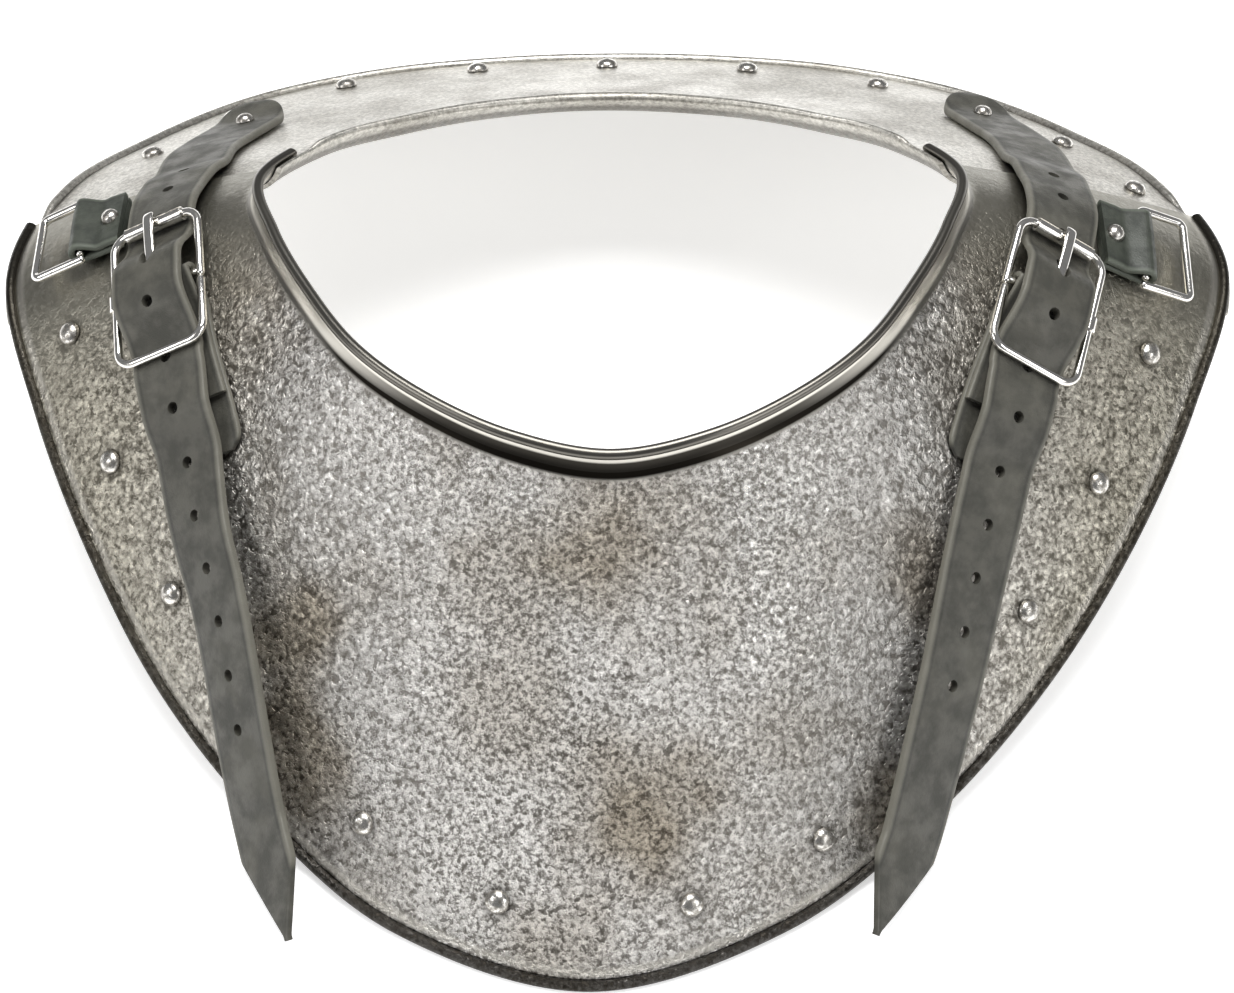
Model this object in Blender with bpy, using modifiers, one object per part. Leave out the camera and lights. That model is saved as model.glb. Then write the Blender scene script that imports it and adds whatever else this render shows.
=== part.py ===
"""Steel gorget: two plates that overlap at the shoulders, joined by buckled leather straps.

The gorget stands on its lower edges. Its front faces -Y, and the wearer's right is -X.
Both plates follow one form, given by sections that run from the neck out to the lower edge.
A section's place round the neck is its station: 0 at the front, 90 at the wearer's left, 180
at the back, and negative on the wearer's right.
"""

import math

import bmesh
import bpy
import numpy as np
from mathutils import Matrix, Vector

# Form of the plates, in metres
HALF_WIDTH = 0.144
FRONT_REACH = 0.171
BACK_REACH = 0.112
NECK_HALF_WIDTH = 0.080
NECK_FRONT = 0.084
NECK_BACK = 0.0435
NECK_HEIGHT = 0.079
SHOULDER_LIFT = 0.040
PLATE_BULGE = 0.004
EDGE_SKEW = -0.0055

# Sheet steel
WALL = 0.0012
BEAD_RADIUS = 0.0013
FLANGE_HEIGHT = 0.0055
FLANGE_LEAN = 0.0022
FLANGE_FILLET = 0.0032
PLATE_GAP = 0.0004
SEAM_STATION = 98.0
UNDERLAP = 12.0
UNDERLAP_REACH = 0.0030
RELIEF_STATION = 93.2
RELIEF_SHARE = 0.74

# Clearance between touching pieces, and how far a cutter reaches past what it cuts
GAP = 0.0003
CUT_MARGIN = 0.0020

# Rivets
RIVET_RADIUS = 0.0028
RIVET_DOME = 0.0019
SHANK_RADIUS = 0.0012
RIVET_TAIL_RADIUS = 0.0020
RIVET_TAIL = 0.0007
STRAP_RIVET_RADIUS = 0.0023
RIVET_INSET = 0.0150

# Leather
STRAP_WIDTH = 0.0186
STRAP_THICKNESS = 0.0020
LIGHT_LEATHER = 0.0015
HOLE_PITCH = 0.0122
HOLE_RADIUS = 0.0014
TONGUE_SLOT = 0.0064
POINT_LENGTH = 0.0210
TAIL_LENGTH = 0.0320
TAIL_CLEARANCE = 0.0012
ROOT_CURL = 0.0030
SEAM_RISE = 0.0130
LEVEL_RUN = 0.0120
STRAP_FLOAT = 0.0030
SECTION_STEP = 0.0045
BUCKLE_STRAP_WIDTH = 0.0180
BUCKLE_STRAP_LENGTH = 0.0410
BUCKLE_STRAP_FOLD = 0.0285
BUCKLE_STRAP_RIVET = 0.0245
BUCKLE_STRAP_OFFSET = 0.0010
BUCKLE_STRAP_DRIFT = 0.0030
TAB_WIDTH = 0.0185
TAB_LENGTH = 0.0108
TAB_RIVET = 0.0078

# Buckle and ring wire
WIRE_RADIUS = 0.0010
BUCKLE_INSIDE = 0.0215
BUCKLE_LENGTH = 0.0350
BUCKLE_CORNER = 0.0040
BUTT_GAP = 0.0016
FOOT_CLEARANCE = 0.0020
ROLLER_SHEET = 0.0004
TONGUE_WIDTH = 0.0026
TONGUE_THICKNESS = 0.0014
EYE_RADIUS = 0.0016
EYE_LENGTH = 0.0040
TONGUE_CROSSING = 0.0019
RING_WIDTH = 0.0125
RING_LENGTH = 0.0220
RING_CORNER = 0.0018

# A row is a station of the form. Shares in x are of half a width, shares in y of the reach
# ahead of (-) or behind (+) the neck's widest line, shares in z of the neck's height or of
# the shoulder's lift, the bulge is a share of the plates' bulge, and the skew is a share of how
# far the hand-cut edge lies to one side.
FORM_COLUMNS = ("station", "neck_x", "neck_y", "neck_z", "edge_x", "edge_y", "edge_z", "bulge",
                "skew")
FORM = (
    (0, 0.00, -1.00, 1.00, 0.00, -1.00, 0.00, 1.00, 1.00),
    (15, 0.27, -0.95, 1.02, 0.296, -0.914, 0.01, 1.00, 0.95),
    (30, 0.51, -0.825, 1.03, 0.515, -0.754, 0.07, 1.00, 0.68),
    (45, 0.705, -0.66, 1.035, 0.692, -0.576, 0.235, 0.95, 0.42),
    (60, 0.845, -0.45, 1.03, 0.827, -0.395, 0.52, 0.85, 0.08),
    (75, 0.95, -0.235, 1.02, 0.932, -0.2035, 0.81, 0.70, -0.15),
    (90, 1.00, 0.00, 0.975, 1.00, 0.00, 1.00, 0.55, -0.28),
    (105, 0.82, 0.42, 0.90, 0.934, 0.33, 0.80, 0.40, 0.00),
    (120, 0.60, 0.65, 0.85, 0.8065, 0.605, 0.445, 0.25, 0.00),
    (135, 0.43, 0.80, 0.81, 0.638, 0.825, 0.17, 0.10, 0.00),
    (150, 0.28, 0.905, 0.775, 0.424, 0.95, 0.042, 0.00, 0.00),
    (165, 0.14, 0.975, 0.75, 0.204, 0.99, 0.032, 0.00, 0.00),
    (180, 0.00, 1.00, 0.74, 0.00, 1.00, 0.032, 0.00, 0.00),
)
STATION_STEP = 15.0

# Middle line of each long strap: station, share of the section from neck to edge, and how
# far its neck side is turned up about that line, in degrees.
STRAP_COLUMNS = ("station", "share", "turn")
RIGHT_STRAP = (
    (127, 0.715, 0),
    (121, 0.660, 0),
    (115, 0.608, 0),
    (108.7, 0.546, 0),
    (100.9, 0.450, 0),
    (94, 0.395, 0),
    (85.8, 0.369, 0),
    (80.5, 0.389, 0),
    (75.2, 0.414, 0),
    (69.5, 0.433, 0),
    (64, 0.464, 0),
    (58.8, 0.502, 1),
    (53.9, 0.549, 4),
    (48.5, 0.601, 9),
    (43.2, 0.653, 12),
    (39, 0.722, 13),
    (35.5, 0.801, 13),
    (32.3, 0.881, 13),
    (29.4, 0.960, 13),
)
LEFT_STRAP = (
    (128, 0.778, 0),
    (124.5, 0.742, 0),
    (117, 0.671, 0),
    (109.8, 0.594, 0),
    (101, 0.485, 0),
    (95, 0.411, 0),
    (89, 0.366, 0),
    (81.7, 0.357, 0),
    (75.4, 0.363, 0),
    (69.1, 0.374, 0),
    (62.5, 0.390, 0),
    (56.6, 0.425, 0),
    (51.8, 0.471, 0),
    (46.7, 0.531, 0),
    (42, 0.599, 2),
    (37.8, 0.679, 4),
    (33.9, 0.767, 6),
    (30.1, 0.863, 8),
    (26.6, 0.965, 8),
)

# Each side: its sign in x, the station of the buckle's roller, the tail past the plate's
# edge as a share of the tail length, the punched holes above and below the tongue's, and the
# side ring's place.
SIDE_COLUMNS = ("name", "sign", "route", "roller", "tail", "holes_above", "holes_below",
                "ring_station", "ring_share")
SIDES = (
    ("right", -1, RIGHT_STRAP, 85.8, 1.000, 3, 9, 91.0, 0.679),
    ("left", 1, LEFT_STRAP, 81.7, 0.835, 3, 8, 87.0, 0.652),
)

# Rivets along the plates' edges. The inset is a share of the rivets' inset from the edge.
RIVET_COLUMNS = ("plate", "side", "station", "inset")
RIVETS = (
    ("front", "right", 7.6, 1.003),
    ("front", "right", 20.5, 1.144),
    ("front", "right", 34.7, 1.116),
    ("front", "right", 49.6, 1.154),
    ("front", "right", 65.0, 1.047),
    ("front", "right", 80.1, 1.005),
    ("front", "left", 7.8, 0.917),
    ("front", "left", 19.6, 0.916),
    ("front", "left", 32.7, 0.938),
    ("front", "left", 47.0, 1.105),
    ("front", "left", 61.5, 1.105),
    ("front", "left", 76.6, 1.061),
    ("back", "right", 114.0, 0.903),
    ("back", "right", 128.0, 0.826),
    ("back", "right", 144.0, 0.751),
    ("back", "right", 161.0, 0.876),
    ("back", "right", 179.6, 1.009),
    ("back", "left", 102.5, 0.728),
    ("back", "left", 115.5, 0.820),
    ("back", "left", 129.5, 0.652),
    ("back", "left", 142.5, 1.029),
    ("back", "left", 160.0, 1.010),
)

# Colour, roughness and metallic value
FINISHES = {
    "etched_steel": ((0.36, 0.35, 0.33), 0.38, 1.0),
    "plain_steel": ((0.50, 0.49, 0.47), 0.32, 1.0),
    "strap_leather": ((0.060, 0.058, 0.050), 0.60, 0.0),
    "tab_leather": ((0.035, 0.042, 0.034), 0.60, 0.0),
    "nickel_wire": ((0.78, 0.76, 0.72), 0.20, 1.0),
}

NECK_LINE = (FRONT_REACH - BACK_REACH) / 2
LAPPED = np.linspace(SEAM_STATION - UNDERLAP, SEAM_STATION, 4)
BARE = np.concatenate(((SEAM_STATION + 1,), np.linspace(SEAM_STATION + 5, 180, 12)))
FRONT_STATIONS = np.concatenate((-LAPPED[::-1], np.linspace(-LAPPED[0], LAPPED[0], 29)[1:-1],
                                 LAPPED))
BACK_STATIONS = np.concatenate((LAPPED, BARE, 360 - BARE[-2::-1], 360 - LAPPED[::-1]))
STATIONS = np.concatenate((-BARE[::-1], FRONT_STATIONS, BARE))
SEAT_FRONT = GAP
SEAT_BACK = GAP - WALL - PLATE_GAP
FOLD_RADIUS = WIRE_RADIUS + GAP + LIGHT_LEATHER
STACK = 2 * LIGHT_LEATHER + 3 * GAP
ROLLER_RADIUS = WIRE_RADIUS + GAP + ROLLER_SHEET
ROLLER_HEIGHT = STACK + GAP + ROLLER_RADIUS
FOOT_BAR_HEIGHT = STACK + STRAP_THICKNESS + FOOT_CLEARANCE + WIRE_RADIUS


def reset_scene():
    """Empty the scene and make one collection for the parts and one for the cutters."""
    for old in list(bpy.data.objects):
        bpy.data.objects.remove(old, do_unlink=True)
    parts = bpy.data.collections.new("steel_gorget")
    cutters = bpy.data.collections.new("cutters")
    for collection in (parts, cutters):
        bpy.context.scene.collection.children.link(collection)
    return parts, cutters


PARTS, CUTTERS = reset_scene()


def finish(name, kind):
    """A Principled material of its own for one piece."""
    colour, roughness, metallic = FINISHES[kind]
    material = bpy.data.materials.new(name)
    material.use_nodes = True
    shader = material.node_tree.nodes["Principled BSDF"]
    shader.inputs["Base Color"].default_value = (*colour, 1.0)
    shader.inputs["Roughness"].default_value = roughness
    shader.inputs["Metallic"].default_value = metallic
    return material


def place(piece, kind=None, matrix=None):
    """Link a piece with its finish. Without a finish it is a cutter."""
    if matrix is not None:
        piece.matrix_world = matrix
    if kind is None:
        CUTTERS.objects.link(piece)
        piece.hide_render = True
        piece.display_type = "WIRE"
    else:
        PARTS.objects.link(piece)
        piece.data.materials.append(finish(piece.name, kind))
    return piece


def add_mesh(name, build, kind=None, angle=35.0):
    """Make an object from a filled bmesh."""
    bmesh.ops.recalc_face_normals(build, faces=build.faces)
    mesh = bpy.data.meshes.new(name)
    build.to_mesh(mesh)
    build.free()
    if kind is not None:
        mesh.shade_smooth()
        mesh.set_sharp_from_angle(angle=math.radians(angle))
    return place(bpy.data.objects.new(name, mesh), kind)


def turned(name, profile, kind, matrix, steps=7):
    """Screw a profile of (radius, height) pairs, which runs down its outer side."""
    closed = profile[0] == profile[-1]
    points = [(radius, 0.0, height) for radius, height in (profile[:-1] if closed else profile)]
    edges = [(i, (i + 1) % len(points)) for i in range(len(profile) - 1)]
    mesh = bpy.data.meshes.new(name)
    mesh.from_pydata(points, edges, [])
    piece = place(bpy.data.objects.new(name, mesh), kind, matrix)
    screw = piece.modifiers.new("turn", "SCREW")
    screw.steps = screw.render_steps = steps
    screw.use_merge_vertices = True
    screw.merge_threshold = 0.00001
    return piece


def wire(name, points, radius, kind, matrix, closed):
    """A round wire along points, as a bevelled curve."""
    curve = bpy.data.curves.new(name, "CURVE")
    curve.dimensions = "3D"
    curve.bevel_depth = radius
    curve.bevel_resolution = 2
    curve.use_fill_caps = not closed
    spline = curve.splines.new("POLY")
    spline.points.add(len(points) - 1)
    for target, point in zip(spline.points, points):
        target.co = (*point, 1.0)
    spline.use_cyclic_u = closed
    return place(bpy.data.objects.new(name, curve), kind, matrix)


def outline(name, points, half_thickness, kind, matrix):
    """A flat outline in the XY plane, as an extruded curve."""
    curve = bpy.data.curves.new(name, "CURVE")
    curve.dimensions = "2D"
    curve.fill_mode = "BOTH"
    curve.extrude = half_thickness
    spline = curve.splines.new("POLY")
    spline.points.add(len(points) - 1)
    for target, (x, y) in zip(spline.points, points):
        target.co = (x, y, 0.0, 1.0)
    spline.use_cyclic_u = True
    return place(bpy.data.objects.new(name, curve), kind, matrix)


def as_mesh(piece):
    """Replace a curve object by its mesh, welded, so that it can be cut or joined."""
    bpy.context.view_layer.update()
    evaluated = piece.evaluated_get(bpy.context.evaluated_depsgraph_get())
    mesh = bpy.data.meshes.new_from_object(evaluated)
    build = bmesh.new()
    build.from_mesh(mesh)
    bmesh.ops.remove_doubles(build, verts=build.verts, dist=0.00001)
    bmesh.ops.recalc_face_normals(build, faces=build.faces)
    build.to_mesh(mesh)
    build.free()
    name, matrix, home = piece.name, piece.matrix_world.copy(), piece.users_collection[0]
    bpy.data.objects.remove(piece, do_unlink=True)
    mesh.name = name
    solid = bpy.data.objects.new(name, mesh)
    solid.matrix_world = matrix
    home.objects.link(solid)
    solid.hide_render = home == CUTTERS
    solid.display_type = "WIRE" if home == CUTTERS else "TEXTURED"
    return solid


def bore(build, matrix, radius, low, high, segments=8):
    """Add a cylinder about the matrix's Z, between two heights."""
    bmesh.ops.create_cone(build, cap_ends=True, segments=segments, radius1=radius,
                          radius2=radius, depth=high - low,
                          matrix=matrix @ Matrix.Translation((0.0, 0.0, (low + high) / 2)))


def box(build, matrix, low, high):
    """Add a box between two corners in the matrix's frame."""
    middle = [(a + b) / 2 for a, b in zip(low, high)]
    size = [b - a for a, b in zip(low, high)]
    bmesh.ops.create_cube(build, size=1.0, matrix=matrix @ Matrix.Translation(middle)
                          @ Matrix.Diagonal((*size, 1.0)))


def loft(name, rings, kind):
    """Skin a row of unlike rings that have equal counts, and cap both ends."""
    build = bmesh.new()
    rows = [[build.verts.new(Vector(point)) for point in ring] for ring in rings]
    count = len(rows[0])
    for one, two in zip(rows, rows[1:]):
        for i in range(count):
            j = (i + 1) % count
            build.faces.new((one[i], one[j], two[j], two[i]))
    build.faces.new(rows[0])
    build.faces.new(rows[-1])
    return add_mesh(name, build, kind)


def boolean(piece, cutter, operation="DIFFERENCE"):
    """Cut or join with the exact solver."""
    modifier = piece.modifiers.new(cutter.name, "BOOLEAN")
    modifier.operation = operation
    modifier.object = cutter
    modifier.solver = "EXACT"


def unit(vector):
    """The vector at length one."""
    return vector / np.linalg.norm(vector)


def smooth_rows(rows, counts):
    """Catmull-Rom values at places counted in rows, past one spare row at each end."""
    rows = np.asarray(rows, float)
    counts = np.clip(np.atleast_1d(np.asarray(counts, float)), 0, len(rows) - 3 - 1e-9)
    start = counts.astype(int)
    t = (counts - start)[:, None]
    a, b, c, d = (rows[start + k] for k in range(4))
    return 0.5 * (2 * b + (c - a) * t + (2 * a - 5 * b + 4 * c - d) * t**2
                  + (3 * b - a - 3 * c + d) * t**3)


def form_rows():
    """The form's table in metres, with a mirrored spare row at each end."""
    rows = []
    for row in FORM:
        item = dict(zip(FORM_COLUMNS, row))
        neck_reach = NECK_FRONT if item["neck_y"] < 0 else NECK_BACK
        edge_reach = FRONT_REACH if item["edge_y"] < 0 else BACK_REACH
        rows.append((
            item["neck_x"] * NECK_HALF_WIDTH,
            NECK_LINE + item["neck_y"] * neck_reach,
            item["neck_z"] * NECK_HEIGHT,
            item["edge_x"] * HALF_WIDTH,
            NECK_LINE + item["edge_y"] * edge_reach,
            item["edge_z"] * SHOULDER_LIFT,
            item["bulge"] * PLATE_BULGE,
            item["skew"] * EDGE_SKEW,
        ))
    flip = np.array((-1, 1, 1, -1, 1, 1, 1, 1))
    rows = np.array(rows)
    return np.vstack((rows[1] * flip, rows, rows[-2] * flip))


FORM_ROWS = form_rows()


def form_at(station):
    """Neck point, edge point and bulge at a station."""
    station = (station + 180.0) % 360.0 - 180.0
    side = -1.0 if station < 0 else 1.0
    row = smooth_rows(FORM_ROWS, abs(station) / STATION_STEP)[0]
    neck = np.array((side * row[0], row[1], row[2]))
    edge = np.array((side * row[3] + row[7], row[4], row[5]))
    return neck, edge, row[6]


def section_path(station, samples=7):
    """Middle line of the sheet in the section's own plane: outward distance and height.

    It drops down the neck flange, turns through the fillet and runs out to the edge. The
    floor is met by the bead, so the line ends a little above the edge's height.
    """
    neck, edge, bulge = form_at(station)
    outward = edge - neck
    run = math.hypot(outward[0], outward[1])
    foot = np.array((FLANGE_LEAN, -FLANGE_HEIGHT))
    end = np.array((run, outward[2] + WALL * 0.7))
    slope = end - foot
    length = np.linalg.norm(slope)
    normal = np.array((-slope[1], slope[0])) / length

    def plate(t):
        return foot + slope * t + normal * bulge * 4 * t * (1 - t)

    turn = foot * (1 - FLANGE_FILLET / np.linalg.norm(foot))
    landing = FLANGE_FILLET / length
    after = plate(landing)
    line = [np.zeros(2), turn]
    for t in (0.3, 0.6):
        line.append(turn * (1 - t)**2 + foot * 2 * t * (1 - t) + after * t**2)
    line += [plate(t) for t in np.linspace(landing, 1.0, samples)]
    return np.array(line), unit(outward[:2]), neck


def path_normals(line):
    """Normals of a section's middle line, on the outer side of the plate."""
    along = np.gradient(line, axis=0)
    along /= np.linalg.norm(along, axis=1)[:, None]
    return np.stack((-along[:, 1], along[:, 0]), axis=1)


def bead_arc(end, outward, normal, radius, steps=4):
    """Points round the bead at the sheet's end, from its outer face to its inner face."""
    centre = end + normal * (radius - WALL / 2)
    start = math.pi - math.asin(max(-1.0, min(1.0, (WALL - radius) / radius)))
    angles = np.linspace(start, -math.pi / 2, steps + 1)
    return [centre + radius * (math.cos(a) * outward + math.sin(a) * normal) for a in angles]


def plate_ring(station, drop, neck_bead, edge_bead, reach=0.0):
    """Closed outline of one section of a plate, in space."""
    line, outward, neck = section_path(station)
    normals = path_normals(line)
    line = line + normals * drop
    line[-1] += unit(line[-1] - line[-2]) * reach
    neck_arc = bead_arc(line[0], unit(line[0] - line[1]), normals[0], neck_bead)
    edge_arc = bead_arc(line[-1], unit(line[-1] - line[-2]), normals[-1], edge_bead)
    outer = line[1:-1] + normals[1:-1] * WALL / 2
    inner = line[1:-1] - normals[1:-1] * WALL / 2
    ring = np.array([*neck_arc[::-1], *outer, *edge_arc, *inner[::-1]])
    flat = neck[:2] + ring[:, :1] * outward
    return np.column_stack((flat, neck[2] + ring[:, 1]))


def blend(value, low, high):
    """Smooth step from 0 at low to 1 at high."""
    t = max(0.0, min(1.0, (value - low) / (high - low)))
    return t * t * (3 - 2 * t)


def outer_face(station, share):
    """Point on the front plate's outer face at a share of the section's length."""
    line, outward, neck = section_path(station)
    line = line + path_normals(line) * WALL / 2
    arc = np.concatenate(((0.0,), np.cumsum(np.linalg.norm(np.diff(line, axis=0), axis=1))))
    where = share * arc[-1]
    flat = np.interp(where, arc, line[:, 0])
    return np.array((*(neck[:2] + outward * flat), neck[2] + np.interp(where, arc, line[:, 1])))


def on_plate(station, share, height=0.0):
    """Point over the plates' outer face, on the facet between two sections, and the normal."""
    index = int(np.clip(np.searchsorted(STATIONS, station), 1, len(STATIONS) - 1))
    low, high = STATIONS[index - 1:index + 1]
    part = (station - low) / (high - low)
    here = outer_face(low, share) * (1 - part) + outer_face(high, share) * part
    round_neck = outer_face(station + 1.0, share) - outer_face(station - 1.0, share)
    outward = outer_face(station, min(share + 0.03, 1.0)) - outer_face(station, share - 0.03)
    normal = unit(np.cross(outward, round_neck))
    if normal[2] < 0:
        normal = -normal
    return here + normal * height, normal


def section_length(station):
    """Length of a section from the neck to the edge."""
    line = section_path(station)[0]
    return np.linalg.norm(np.diff(line, axis=0), axis=1).sum()


def make_plates():
    """The front plate, and the back plate whose ends run under it at the shoulders."""
    rings = [plate_ring(s, 0.0, BEAD_RADIUS, BEAD_RADIUS) for s in FRONT_STATIONS]
    front_plate = loft("front_plate", rings, "etched_steel")

    rings = []
    for s in BACK_STATIONS:
        station = 180 - abs(s - 180)
        covered = 1 - blend(station, SEAM_STATION + 1, SEAM_STATION + 5)
        bead = BEAD_RADIUS + (WALL / 2 - BEAD_RADIUS) * covered
        reach = UNDERLAP_REACH * blend(SEAM_STATION - station, 0.0, UNDERLAP * 0.6)
        rings.append(plate_ring(s, -WALL - PLATE_GAP, bead, bead, reach))
    back_plate = loft("back_plate", rings, "etched_steel")

    for side, sign in (("right", -1), ("left", 1)):
        corners = []
        for station, shares in ((SEAM_STATION - UNDERLAP - 2, (-0.15, RELIEF_SHARE)),
                                (RELIEF_STATION, (RELIEF_SHARE, -0.15))):
            neck, edge, _ = form_at(sign * station)
            corners += [(neck + (edge - neck) * share)[:2] for share in shares]
        lift = Matrix.Translation((0.0, 0.0, NECK_HEIGHT / 2))
        relief = outline(f"back_plate_relief_{side}", corners, NECK_HEIGHT, None, lift)
        boolean(back_plate, as_mesh(relief))
    return front_plate, back_plate


def placing(point, normal, along):
    """Matrix with Z on the normal and Y nearest to along."""
    z = unit(normal)
    x = unit(np.cross(along, z))
    y = np.cross(z, x)
    matrix = Matrix.Identity(4)
    for column, axis in enumerate((x, y, z, point)):
        for row in range(3):
            matrix[row][column] = axis[row]
    return matrix


def rivet(name, matrix, grip, radius=RIVET_RADIUS, head=0.0, dome=RIVET_DOME):
    """A rivet whose head sits on matrix's plane and whose tail is under the grip."""
    tail = -grip - GAP
    head += GAP
    profile = ((0.0, head + dome), (radius * 0.62, head + dome * 0.82), (radius, head),
               (SHANK_RADIUS, head), (SHANK_RADIUS, tail), (RIVET_TAIL_RADIUS, tail),
               (RIVET_TAIL_RADIUS, tail - RIVET_TAIL), (0.0, tail - RIVET_TAIL))
    return turned(name, profile, "plain_steel", matrix)


def drill(build, matrix, grip, head=0.0):
    """Add a drill for a rivet's shank, from above its head's seat to below its grip."""
    margin = CUT_MARGIN / 2
    bore(build, matrix, SHANK_RADIUS + GAP, -grip - margin, head + margin)


def edge_rivets(plates):
    """Rivets along both plates' edges, with their holes."""
    drills = {"front": bmesh.new(), "back": bmesh.new()}
    counts = {}
    for row in RIVETS:
        item = dict(zip(RIVET_COLUMNS, row))
        plate_name, side = item["plate"], item["side"]
        sign = -1 if side == "right" else 1
        seat = 0.0 if plate_name == "front" else -WALL - PLATE_GAP
        share = 1 - item["inset"] * RIVET_INSET / section_length(sign * item["station"])
        point, normal = on_plate(sign * item["station"], share, seat)
        matrix = placing(point, normal, np.array((0.0, 1.0, 0.0)))
        counts[plate_name, side] = counts.get((plate_name, side), 0) + 1
        rivet(f"{plate_name}_rivet_{side}_{counts[plate_name, side]}", matrix, WALL)
        drill(drills[plate_name], matrix, WALL)
    for plate, plate_name in zip(plates, drills):
        boolean(plate, add_mesh(f"{plate_name}_rivet_holes", drills[plate_name]))


class Route:
    """A strap's base line on the plates, evenly sampled, with its arc length from the root.

    Each sample holds a point on the front plate's outer face, the normal, the station, and
    the turn of the strap's face in degrees.
    """

    def __init__(self, side):
        rows = []
        for row in side["route"]:
            item = dict(zip(STRAP_COLUMNS, row))
            point, normal = on_plate(side["sign"] * item["station"], item["share"])
            rows.append((*point, *normal, item["station"], item["turn"]))
        rows = np.array(rows)
        rows = np.vstack((2 * rows[0] - rows[1], rows, 2 * rows[-1] - rows[-2]))
        fine = smooth_rows(rows, np.linspace(0, len(rows) - 3, 400))
        steps = np.linalg.norm(np.diff(fine[:, :3], axis=0), axis=1)
        self.arc = np.concatenate(((0.0,), np.cumsum(steps)))
        self.rows = fine
        self.sign = side["sign"]
        self.edge = self.arc[-1]
        self.length = self.edge + side["tail"] * TAIL_LENGTH

    def at_station(self, station):
        """Arc length where the line crosses a station."""
        return float(np.interp(-station, -self.rows[:, 6], self.arc))

    def base(self, arc):
        """Row at an arc length on the plate."""
        return np.array([np.interp(arc, self.arc, self.rows[:, k]) for k in range(8)])

    def frame(self, arc):
        """Point on the plate, direction towards the tail, and normal square to it."""
        row = self.base(min(arc, self.edge))
        step = 0.001
        ahead = self.base(min(arc + step, self.edge))[:3]
        behind = self.base(min(arc, self.edge) - step)[:3]
        along = unit(ahead - behind)
        normal = unit(row[3:6] - along * np.dot(row[3:6], along))
        return row[:3], along, normal


def eased(knots, value):
    """Height through the knots, level at each of them."""
    places, heights = zip(*knots)
    if value <= places[0]:
        return heights[0]
    if value >= places[-1]:
        return heights[-1]
    index = int(np.searchsorted(places, value, side="right")) - 1
    part = blend(value, places[index], places[index + 1])
    return heights[index] + (heights[index + 1] - heights[index]) * part


def buckle_frame(route, roller):
    """Matrix at the middle of a buckle's centre bar: Y towards the roller, Z off the plate."""
    top, _, top_normal = route.frame(roller)
    foot, _, foot_normal = route.frame(roller + BUCKLE_LENGTH)
    top = top + top_normal * ROLLER_HEIGHT
    foot = foot + foot_normal * FOOT_BAR_HEIGHT
    return placing((top + foot) / 2, top_normal + foot_normal, top - foot)


def strap_heights(route, roller, buckle):
    """Height of the strap's underside over the plate, as knots along the route.

    Inside the buckle the strap passes under the roller, over the folded leather on the
    centre bar and under the foot bar, so those knots are set from the buckle's own plane.
    """
    centre = roller + BUCKLE_LENGTH / 2
    up = np.array(buckle.to_3x3() @ Vector((0, 0, 1)))

    def level(y, z):
        point, _, normal = route.frame(centre - y)
        target = np.array(buckle @ Vector((0, y, z)))
        return centre - y, float(np.dot(target - point, up) / np.dot(normal, up))

    seam = route.at_station(SEAM_STATION)
    half = BUCKLE_LENGTH / 2
    rest = STRAP_THICKNESS + GAP
    over_rivet = STACK + RIVET_TAIL + 3 * GAP
    strap_end = centre + BUCKLE_STRAP_LENGTH
    return (
        (0.0, SEAT_BACK + ROOT_CURL),
        (STRAP_WIDTH * 0.5, SEAT_BACK),
        (seam - SEAM_RISE, SEAT_BACK),
        (seam + SEAM_RISE * 0.08, SEAT_FRONT + GAP * 1.33),
        level(half + ROLLER_RADIUS * 1.06, -ROLLER_RADIUS - rest),
        level(half - ROLLER_RADIUS * 1.06, -ROLLER_RADIUS - rest),
        level(FOLD_RADIUS * 1.5, FOLD_RADIUS + GAP),
        level(-FOLD_RADIUS * 0.8, FOLD_RADIUS + GAP),
        level(-half + WIRE_RADIUS * 1.3, -WIRE_RADIUS - rest),
        level(-half - WIRE_RADIUS * 1.3, -WIRE_RADIUS - rest),
        (centre + BUCKLE_STRAP_RIVET - STRAP_RIVET_RADIUS * 1.22, over_rivet),
        (centre + BUCKLE_STRAP_FOLD, over_rivet),
        (strap_end, LIGHT_LEATHER + 3 * GAP),
        (strap_end + LEVEL_RUN, STRAP_FLOAT * 0.8),
        (route.edge - LEVEL_RUN * 2.5, STRAP_FLOAT),
        (route.edge, STRAP_FLOAT * 1.2),
    )


def strap_section(route, heights, buckle, arc):
    """Middle of the strap's underside, its width direction and its face's normal.

    Past the plate's edge the tail slopes down to just over the floor. A tail that is too
    short for that hangs straight down.
    """
    point, along, normal = route.frame(arc)
    turn = math.radians(route.base(min(arc, route.edge))[7])
    across = np.cross(along, normal) * route.sign
    middle = point + normal * (eased(heights, arc) + math.sin(turn) * STRAP_WIDTH / 2)
    before, after = heights[4][0], heights[9][0]
    held = blend(arc, before - LEVEL_RUN, before) * (1 - blend(arc, after, after + LEVEL_RUN))
    bar = np.array(buckle.to_3x3() @ Vector((1, 0, 0)))
    bar = bar * np.sign(np.dot(bar, across))
    width = unit(across * (1 - held) + bar * held)
    normal = np.cross(width, along) * -route.sign
    normal = unit(normal * np.sign(normal[2]))
    face = unit(normal * math.cos(turn) - width * math.sin(turn))
    width = unit(width * math.cos(turn) + normal * math.sin(turn))
    past = arc - route.edge
    if past > 0:
        reach = route.length - route.edge
        lowest = TAIL_CLEARANCE + abs(width[2]) * STRAP_WIDTH / 2 * past / reach
        fall = min(1.0, (middle[2] - lowest) / reach)
        level = unit(along * np.array((1.0, 1.0, 0.0)))
        middle = middle + (level * math.sqrt(1 - fall**2) - np.array((0, 0, fall))) * past
    return middle, width, face


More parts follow.
